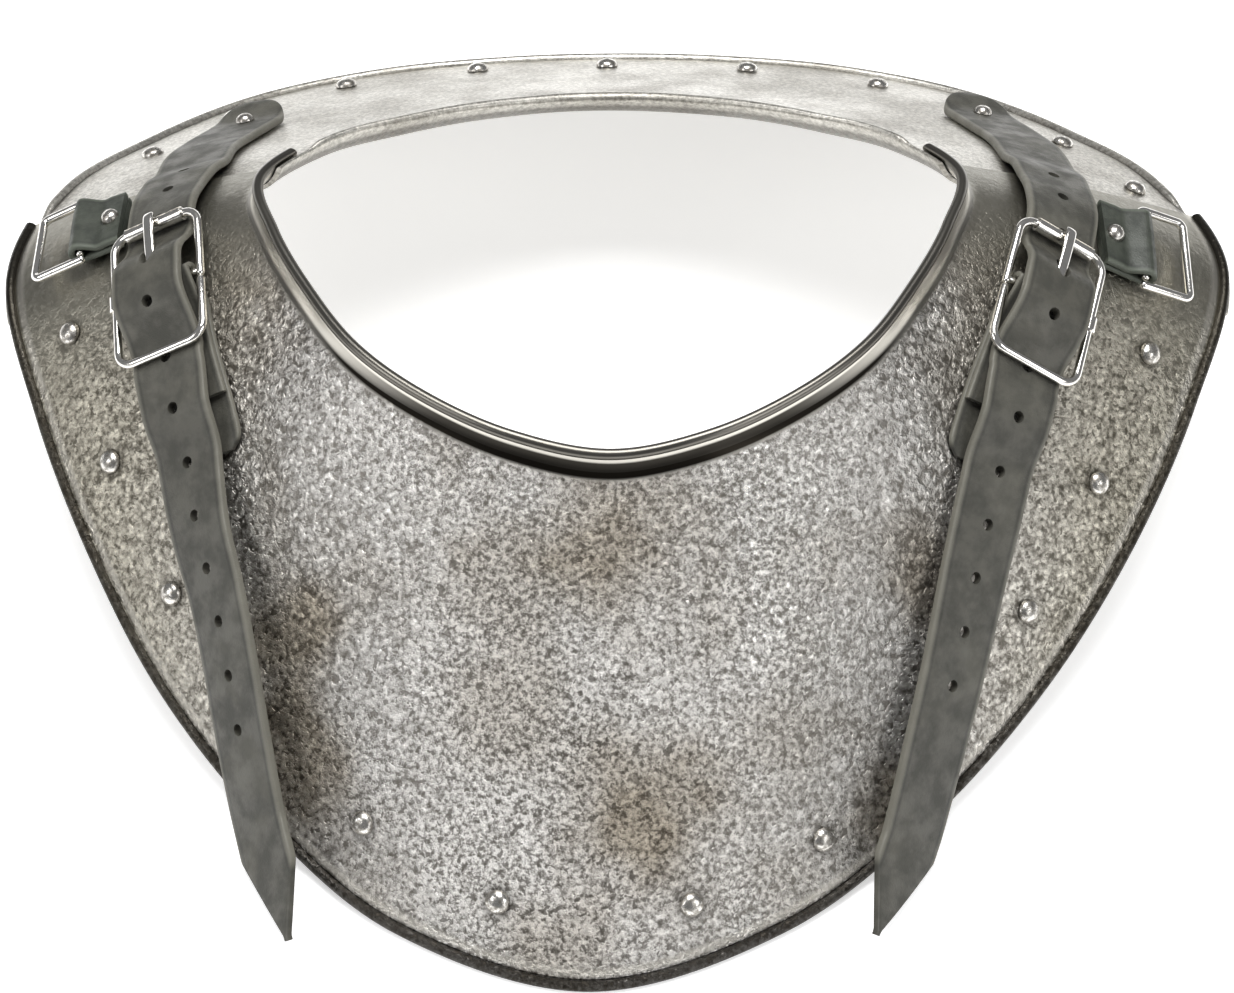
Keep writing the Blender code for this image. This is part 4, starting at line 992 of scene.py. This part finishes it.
def make_tab(side, matrix):
    """The short tab folded round the side ring's inner bar."""
    station, share = side["ring"]
    length = section_length(side["sign"] * station)

    def run(distances, height, face):
        shares = share - np.asarray(distances, float) / length
        points, normals = on_plate(np.full(len(shares), side["sign"] * station), shares, height)
        return np.column_stack((points, normals * face,
                                np.repeat(matrix[None, :3, 0], len(shares), axis=0)))

    lower = run(TAB_LENGTH * np.array((1.0, 0.926, 0.556, 0.278)), GAP + LIGHT_LEATHER, -1)
    angles = np.radians(np.linspace(-70, -285, 6))
    out = np.column_stack((0 * angles, np.cos(angles), np.sin(angles)))
    bar = np.column_stack((through(matrix, out * (WIRE_RADIUS + GAP)), out @ matrix[:3, :3].T,
                           np.repeat(matrix[None, :3, 0], 6, axis=0)))
    upper = run(TAB_LENGTH * np.array((0.417, 0.648, 0.926, 1.0)), GAP + LIGHT_LEATHER + GAP, 1)
    rows = np.vstack((lower, bar, upper))
    tab = folded_surface(f"side_tab_{side['name']}_hide", rows,
                         np.full(len(rows), TAB_WIDTH / 2))
    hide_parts(f"side_tab_{side['name']}")
    return tab


def section_length(station):
    """Length of one section from the neck to the edge."""
    line = section_lines(np.array((station,)))[0][0]
    return np.linalg.norm(np.diff(line, axis=0), axis=1).sum()


def make_ring(side, matrix):
    """The rectangular ring of square-bent wire, open at the front end of its inner bar."""
    front = -side["sign"]
    half = RING_LENGTH / 2
    corners = np.array(((front * (half + WIRE_RADIUS * 0.2), WIRE_RADIUS * 0.6),
                        (front * half, -RING_WIDTH), (-front * half, -RING_WIDTH),
                        (-front * half, 0.0), (front * (half - WIRE_RADIUS * 2.4), 0.0)))
    path = rounded_path(corners, RING_CORNER)
    path = np.column_stack((path, np.zeros(len(path))))
    ring = wire_surface(f"side_ring_{side['name']}_wire", path, WIRE_RADIUS, matrix)
    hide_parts(f"side_ring_{side['name']}")
    return ring


# %% Make both shoulders
straps, tabs, wires, rings = [], [], [], []
for side in SIDES:
    route = Route(side)
    roller = route.at_station(side["roller"])
    buckle = buckle_matrix(route, roller)
    straps.append(make_strap(side, route, roller, buckle))
    straps.append(make_buckle_strap(side, route, roller, buckle))
    wires += make_buckle(side, buckle)
    matrix = ring_matrix(side)
    tabs.append(make_tab(side, matrix))
    rings.append((make_ring(side, matrix), f"side_ring_{side['name']}"))
print("leather pieces:", len(straps) + len(tabs), "wire pieces:", len(wires) + len(rings))

# %% [markdown]
# ## Shader arithmetic
#
# A finish is arithmetic on textures: a mask here, a mix there. Written as nodes one by one it
# fills pages. The class below wraps a socket, so that plus, minus, times and divide add the
# Math nodes themselves, and one method makes any other node.

# %% Socket arithmetic
class Signal:
    """A value on its way through a material. Arithmetic on it adds Math nodes."""

    def __init__(self, finish, socket):
        self.finish = finish
        self.socket = socket

    def math(self, operation, one, two, clamp=False):
        settings = {"operation": operation, "use_clamp": clamp}
        return self.finish.node("ShaderNodeMath", settings, {0: one, 1: two})

    def __add__(self, other):
        return self.math("ADD", self, other)

    def __sub__(self, other):
        return self.math("SUBTRACT", self, other)

    def __mul__(self, other):
        return self.math("MULTIPLY", self, other)

    def __truediv__(self, other):
        return self.math("DIVIDE", self, other)

    def __radd__(self, other):
        return self.math("ADD", other, self)

    def __rsub__(self, other):
        return self.math("SUBTRACT", other, self)

    def __rmul__(self, other):
        return self.math("MULTIPLY", other, self)

    def between(self, low, high):
        """0 at low, 1 at high, clamped, and smooth at both ends."""
        settings = {"interpolation_type": "SMOOTHSTEP"}
        values = {0: self, 1: low, 2: high, 3: 0.0, 4: 1.0}
        return self.finish.node("ShaderNodeMapRange", settings, values)


class Finish:
    """One material, with a method that makes nodes and one that sets its shader."""

    def __init__(self, name):
        self.material = bpy.data.materials.new(name)
        self.material.use_nodes = True
        self.tree = self.material.node_tree
        self.shader = self.tree.nodes["Principled BSDF"]

    def node(self, kind, settings, values, output=0):
        """A node of a type: its settings first, then its sockets' values or links."""
        node = self.tree.nodes.new(kind)
        for key, value in settings.items():
            if key == "stops":
                self.set_stops(node.color_ramp, value)
            else:
                setattr(node, key, value)
        for key, value in values.items():
            self.feed(node.inputs[key], value)
        return Signal(self, node.outputs[output])

    def set_stops(self, ramp, stops):
        """Colours of a ramp as (place, (red, green, blue)) pairs."""
        while len(ramp.elements) < len(stops):
            ramp.elements.new(0.5)
        for element, (place, colour) in zip(ramp.elements, stops):
            element.position = place
            element.color = (*colour, 1.0)

    def feed(self, socket, value):
        """Link a signal to a socket, or set the socket's own value."""
        if isinstance(value, Signal):
            self.tree.links.new(value.socket, socket)
        elif isinstance(value, tuple) and len(value) == 3 and socket.type == "RGBA":
            socket.default_value = (*value, 1.0)
        else:
            socket.default_value = value

    def set(self, **values):
        """Values or links for the shader's sockets, underscores standing for spaces."""
        for key, value in values.items():
            self.feed(self.shader.inputs[key.replace("_", " ")], value)

    def coordinates(self, which="Object"):
        """Object coordinates in metres, or the surface's own UV map."""
        return self.node("ShaderNodeTexCoord", {}, {}, which)

    def noise(self, vector, scale, detail=4.0, roughness=0.55, distortion=0.0):
        """Soft noise between 0 and 1, with its scale in waves per metre."""
        values = {"Vector": vector, "Scale": scale, "Detail": detail,
                  "Roughness": roughness, "Distortion": distortion}
        return self.node("ShaderNodeTexNoise", {}, values)

    def cells(self, vector, scale, feature="F1", output="Distance"):
        """Cells of a Voronoi pattern, with its scale in cells per metre."""
        return self.node("ShaderNodeTexVoronoi", {"feature": feature},
                         {"Vector": vector, "Scale": scale}, output)

    def mix(self, share, one, two):
        """Mix of two colours."""
        settings = {"data_type": "RGBA", "clamp_factor": True}
        return self.node("ShaderNodeMix", settings, {0: share, 6: one, 7: two}, 2)

    def split(self, vector, axis):
        """One axis of a vector."""
        return self.node("ShaderNodeSeparateXYZ", {}, {0: vector}, axis)

    def bump(self, height, distance, strength=1.0, normal=None):
        """A bump of some distance in metres, over another if one is given."""
        values = {"Height": height, "Distance": distance, "Strength": strength}
        if normal is not None:
            values["Normal"] = normal
        return self.node("ShaderNodeBump", {}, values)


# %% [markdown]
# ## Etched steel
#
# The front plate was etched and then brushed, which leaves bright grains one or two millimetres
# wide with dark pits between them. The grain is coarse over the shoulders and fine in the
# middle. Brown stains lie over it in soft clouds. Shade is painted into the colour at the front
# of the neck flange, in its crease, at the neck rim, along the lower wired edge, towards the
# back over the shoulders and round the rivets, where it stands for grime as well. A painted
# highlight runs just inside the lower edge. Where the stains lie is given as stations and
# shares, so that they keep their place on the plate's form.

# %% Etched steel material
STAIN_COLUMNS = ("station", "share", "radius", "depth")
STAINS = (
    (0, 0.16, 0.024, 0.80), (4, 0.66, 0.026, 0.95), (-9, 0.50, 0.022, 0.55),
    (-12, 0.28, 0.020, 0.55), (-33, 0.62, 0.020, 0.80), (-29, 0.86, 0.022, 1.00),
    (27, 0.92, 0.016, 0.85), (38, 0.52, 0.016, 0.60), (-78, 0.22, 0.030, 0.90),
    (79, 0.22, 0.030, 0.90), (-3, 0.93, 0.018, 0.55), (84, 0.80, 0.024, 0.85),
    (58, 0.30, 0.022, 0.45), (-62, 0.30, 0.014, 0.35),
)
RIVET_HALO = 0.0052


def spot(finish, place, centre, radius):
    """1 at a centre, falling smoothly to 0 at a radius."""
    settings = {"operation": "DISTANCE"}
    distance = finish.node("ShaderNodeVectorMath", settings, {0: place, 1: tuple(centre)},
                           "Value")
    return 1 - distance.between(radius * 0.25, radius)


def shaken(finish, place, scale, reach):
    """Coordinates pushed about by noise, by up to a reach in metres."""
    push = finish.node("ShaderNodeTexNoise", {}, {"Vector": place, "Scale": scale, "Detail": 3.0},
                       "Color")
    push = finish.node("ShaderNodeVectorMath", {"operation": "SUBTRACT"},
                       {0: push, 1: (0.5, 0.5, 0.5)})
    push = finish.node("ShaderNodeVectorMath", {"operation": "SCALE"},
                       {0: push, "Scale": reach * 2})
    return finish.node("ShaderNodeVectorMath", {"operation": "ADD"}, {0: place, 1: push})


def rivet_halos(finish, place, plate):
    """Painted contact shade and grime round the rivets of one plate: the strongest of their spots.
    """
    halos = 0.0
    for node in sorted(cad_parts):
        if "rivet" in node and node.startswith(plate):
            halo = spot(finish, place, rivet_place(node)[0][:3, 3], RIVET_HALO)
            halos = finish.node("ShaderNodeMath", {"operation": "MAXIMUM"}, {0: halo, 1: halos})
    return halos


def etched_steel():
    """Bright grains between dark pits under brown clouds, a polished neck flange, painted shade
    and a painted highlight.
    """
    finish = Finish("etched_steel")
    place = finish.coordinates()
    uv = finish.coordinates("UV")
    from_neck = finish.split(uv, 0)
    from_edge = finish.split(uv, 1)
    off_middle = finish.node("ShaderNodeMath", {"operation": "ABSOLUTE"},
                             {0: finish.split(place, 0)})
    rough = shaken(finish, place, 600.0, 0.0007)
    cells = 1 - finish.cells(rough, 640.0, "F1").between(0.15, 0.70)
    coarse = finish.noise(place, 430.0, 4.0, 0.74, 0.2).between(0.36, 0.66)
    fine = finish.noise(place, 900.0, 4.0, 0.70, 0.1).between(0.35, 0.66)
    pits = 1 - finish.noise(place, 620.0, 2.0, 0.6, 0.3).between(0.36, 0.45)
    patches = finish.noise(place, 26.0, 3.0, 0.5).between(0.38, 0.60)
    side = off_middle.between(0.020, 0.085)
    bold = patches * 0.35 + side * 0.65
    grain = (coarse * 0.55 + cells * 0.45) * bold + fine * (1 - bold)
    # Painted shade: the colour is darkened towards the back, over the tops of the shoulders, where
    # the grain is also quietened.
    toward_back = finish.split(place, 1).between(-0.012, 0.026)
    calm = (1 - from_neck.between(0.0060, 0.0072)) * 1.0
    quiet = finish.node("ShaderNodeMath", {"operation": "MAXIMUM"}, {0: calm, 1: toward_back * 0.80})
    relief = (grain * (1 - pits * 0.75)) * (1 - quiet) + quiet * 0.55
    wander = shaken(finish, place, 45.0, 0.012)
    clouds = finish.noise(place, 21.0, 4.0, 0.62, 0.4).between(0.46, 0.66) * 0.45
    for row in STAINS:
        stain = dict(zip(STAIN_COLUMNS, row))
        centre = on_plate(stain["station"], stain["share"])[0][0]
        clouds = clouds + spot(finish, wander, centre, stain["radius"]) * stain["depth"]
    silver = finish.mix(relief, (0.15, 0.138, 0.120), (0.96, 0.935, 0.90))
    brown = finish.mix(relief, (0.060, 0.050, 0.038), (0.56, 0.50, 0.41))
    colour = finish.mix(clouds * 0.85, silver, brown)
    olive = finish.mix(relief, (0.075, 0.066, 0.046), (0.72, 0.67, 0.54))
    colour = finish.mix(off_middle.between(0.062, 0.120) * 0.80, colour, olive)
    # A shaded copy of the steel, painted in towards the back.
    shade = finish.mix(relief, (0.12, 0.115, 0.092), (0.40, 0.385, 0.33))
    colour = finish.mix(toward_back * 0.85, colour, shade)
    colour = finish.mix(calm, colour, (0.72, 0.69, 0.62))
    # Painted shade: the front of the neck flange, its crease, a thin line at the neck rim and the
    # lower wired edge are darkened where shade falls.
    front = 1 - finish.split(place, 1).between(-0.046, -0.012)
    flange = (1 - from_neck.between(0.0054, 0.0064)) * from_neck.between(0.0020, 0.0026)
    crease = (1 - from_neck.between(0.0062, 0.0072)) * from_neck.between(0.0046, 0.0056)
    neck_rim_shade = 1 - from_neck.between(0.0006, 0.0011)
    bead_shade = 1 - from_edge.between(0.0005, 0.0016)
    # Painted contact shade round the rivets, with grime.
    halos = rivet_halos(finish, place, "front")
    # All these masks are painted shade, with grime as well round the rivets.
    shade_and_grime = (flange * front * 0.97 + crease * 0.70 + neck_rim_shade * 0.80 + bead_shade * 0.92
             + halos * 0.70)
    colour = finish.mix(shade_and_grime, colour, (0.022, 0.019, 0.015))
    # Painted highlight: a pale band just inside the lower wired edge, where the rolled edge
    # catches light.
    rim = (1 - from_edge.between(0.0030, 0.0046)) * from_edge.between(0.0016, 0.0022)
    colour = finish.mix(rim * 0.45, colour, (0.86, 0.82, 0.74))
    normal = finish.bump(relief, 0.00034, 1.0)
    roughness = 0.26 + (1 - relief) * 0.20 + clouds * 0.08 - calm * 0.06
    finish.set(Base_Color=colour, Metallic=1.0, Roughness=roughness, Normal=normal)
    return finish.material


# %% [markdown]
# ## The back plate, rivets and wire
#
# The back plate has a quieter finish of fine speckle. The rivets are plain steel with soft dents
# and darker spots. The buckles are nickel plated, nearly mirror bright, with dull patches.

# %% Other metals
def brushed_plate():
    """The back plate: warm grey steel with fine speckle, and painted shade along the rim and below
    the neck edge.
    """
    finish = Finish("brushed_plate")
    place = finish.coordinates()
    speckle = finish.noise(place, 900.0, 4.0, 0.7).between(0.34, 0.66)
    clouds = finish.noise(place, 30.0, 4.0, 0.6).between(0.36, 0.66)
    light = finish.mix(speckle, (0.36, 0.345, 0.31), (0.66, 0.64, 0.59))
    dark = finish.mix(speckle, (0.22, 0.205, 0.18), (0.44, 0.42, 0.37))
    colour = finish.mix(clouds * 0.7, light, dark)
    uv = finish.coordinates("UV")
    from_neck = finish.split(uv, 0)
    from_edge = finish.split(uv, 1)
    # Painted shade: dark bands along the lower rim and below the neck edge.
    line = (1 - from_edge.between(0.0014, 0.0030)) * from_edge.between(0.0003, 0.0010)
    neck_shade = (1 - from_neck.between(0.0040, 0.0090)) * from_neck.between(0.0008, 0.0030)
    colour = finish.mix(line * 0.6 + neck_shade * 0.6, colour, (0.06, 0.054, 0.045))
    finish.set(Base_Color=colour, Metallic=1.0, Roughness=0.32 + clouds * 0.14,
               Normal=finish.bump(speckle, 0.00006, 0.8))
    return finish.material


def rivet_steel():
    """Plain steel with soft dents and darker spots."""
    finish = Finish("rivet_steel")
    place = finish.coordinates()
    dents = finish.noise(place, 420.0, 3.0, 0.6)
    spots = finish.noise(place, 900.0, 3.0, 0.6).between(0.42, 0.62)
    colour = finish.mix(spots, (0.66, 0.64, 0.60), (0.30, 0.28, 0.25))
    finish.set(Base_Color=colour, Metallic=1.0, Roughness=0.24 + spots * 0.16,
               Normal=finish.bump(dents, 0.00030, 0.8))
    return finish.material


def nickel_plate():
    """Bright nickel with dull patches."""
    finish = Finish("nickel_plate")
    place = finish.coordinates()
    dull = finish.noise(place, 300.0, 4.0, 0.6).between(0.45, 0.70)
    colour = finish.mix(dull * 0.6, (0.88, 0.86, 0.82), (0.62, 0.59, 0.54))
    finish.set(Base_Color=colour, Metallic=1.0, Roughness=0.12 + dull * 0.14,
               Normal=finish.bump(dull, 0.00003, 0.6))
    return finish.material


# %% [markdown]
# ## Waxed leather
#
# The hide is dyed almost black, with an olive cast, and polished by handling. The grain is a
# net of tiny creases. Along the bevelled edges the dye has rubbed off, so the leather is
# lighter there. The strap's own UV map says how far a point is from the middle line, in
# metres, and along the strap, which makes the worn edges simple.

# %% Leather material
def waxed_leather(name, dark, light, half_width):
    """Creased grain, long soft rubs along the strap, and paler bevelled edges."""
    finish = Finish(name)
    place = finish.coordinates()
    uv = finish.coordinates("UV")
    grain = finish.cells(place, 1500.0, "DISTANCE_TO_EDGE").between(0.0, 0.35)
    mottle = finish.noise(place, 160.0, 4.0, 0.6).between(0.35, 0.68)
    rubs = finish.noise(place, 60.0, 4.0, 0.6, 0.3).between(0.46, 0.70)
    across = finish.split(uv, 0)
    off = finish.node("ShaderNodeMath", {"operation": "ABSOLUTE"}, {0: across})
    rim = off.between(half_width - 0.0014, half_width - 0.0003)
    crease = off.between(half_width - 0.0022, half_width - 0.0016) * (
        1 - off.between(half_width - 0.0015, half_width - 0.0010))
    colour = finish.mix(mottle, dark, light)
    colour = finish.mix(rubs * 0.35, colour, tuple(c * 1.8 for c in light))
    colour = finish.mix(rim * 0.55, colour, tuple(c * 2.6 for c in light))
    colour = finish.mix(crease * 0.35, colour, (0.012, 0.012, 0.010))
    height = grain * 0.35 + mottle * 0.65
    finish.set(Base_Color=colour, Roughness=0.46 + (1 - mottle) * 0.18 + rubs * 0.06,
               Normal=finish.bump(height, 0.00010, 0.7))
    return finish.material


# %% [markdown]
# ## Finishes on their pieces
#
# Every piece rides on the body it belongs to, stands for its measured node and takes one
# finish. The side rings swing by themselves, so each rides on its own body.

# %% Assign finishes and bodies
def dress(piece, material, body="root"):
    """One material, one body and one slot for a piece."""
    piece.data.materials.clear()
    piece.data.materials.append(material)
    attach(piece, body)


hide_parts("front_plate")
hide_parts("back_plate")
dress(front_plate, etched_steel())
dress(back_plate, brushed_plate())
rivet_material = rivet_steel()
for piece in rivets:
    dress(piece, rivet_material)
strap_material = waxed_leather("strap_leather", (0.040, 0.039, 0.031), (0.074, 0.071, 0.058),
                               STRAP_WIDTH / 2)
for piece in straps:
    dress(piece, strap_material)
tab_material = waxed_leather("tab_leather", (0.020, 0.024, 0.018), (0.050, 0.056, 0.044),
                             TAB_WIDTH / 2)
for piece in tabs:
    dress(piece, tab_material)
nickel = nickel_plate()
for piece in wires:
    dress(piece, nickel)
for piece, body in rings:
    dress(piece, nickel, body)

# %% [markdown]
# ## Floor and light
#
# The floor is plain and pale. Metal is drawn by what it reflects, so the studio has a large
# soft lamp on each side, where the plate's two bright fields mirror it, and darker air between
# them. A third lamp behind lights the floor, and the front plate doesn't mirror it. A lamp's
# azimuth is 0 in front of the gorget and 90 at the wearer's left.

# %% Floor, lamps and surroundings
def make_floor():
    """A wide pale floor just under the plates' edges, lit a little from below."""
    grid = np.array((((-3, -3, 0), (-3, 3, 0)), ((3, -3, 0), (3, 3, 0))), float)
    mesh = bpy.data.meshes.new("floor")
    mesh.from_pydata(grid.reshape(-1, 3).tolist(), [], [(0, 2, 3, 1)])
    floor = bpy.data.objects.new("floor", mesh)
    bpy.context.scene.collection.objects.link(floor)
    finish = Finish("floor")
    finish.set(Base_Color=(0.90, 0.90, 0.90), Roughness=0.85,
               Emission_Color=(1.0, 1.0, 1.0), Emission_Strength=0.55)
    mesh.materials.append(finish.material)


LAMP_COLUMNS = ("name", "azimuth", "elevation", "distance", "size", "power")
LAMPS = (
    ("left", -68, 34, 1.3, 0.60, 4.2),
    ("right", 56, 34, 1.3, 0.60, 3.6),
    ("front", 38, 14, 1.4, 0.40, 0.8),
    ("above", 180, 76, 1.5, 0.90, 26.0),
)


def make_lamps():
    """Square soft lamps on a dome round the camera's target, each turned towards it."""
    for row in LAMPS:
        lamp = dict(zip(LAMP_COLUMNS, row))
        data = bpy.data.lights.new(f"lamp_{lamp['name']}", "AREA")
        data.energy = lamp["power"]
        data.size = lamp["size"]
        piece = bpy.data.objects.new(data.name, data)
        azimuth, elevation = math.radians(lamp["azimuth"]), math.radians(lamp["elevation"])
        away = Vector((math.sin(azimuth) * math.cos(elevation),
                       -math.cos(azimuth) * math.cos(elevation), math.sin(elevation)))
        piece.location = CAMERA_TARGET + away * lamp["distance"]
        aim = CAMERA_TARGET - piece.location
        piece.rotation_euler = aim.to_track_quat("-Z", "Y").to_euler()
        bpy.context.scene.collection.objects.link(piece)


def make_surroundings(strength=0.20):
    """Even, slightly cool air all round."""
    world = bpy.data.worlds.new("studio")
    world.use_nodes = True
    background = world.node_tree.nodes["Background"]
    background.inputs["Color"].default_value = (0.97, 0.98, 1.0, 1.0)
    background.inputs["Strength"].default_value = strength
    bpy.context.scene.world = world
    bpy.context.scene.view_settings.view_transform = "Standard"


make_floor()
make_lamps()
make_surroundings()
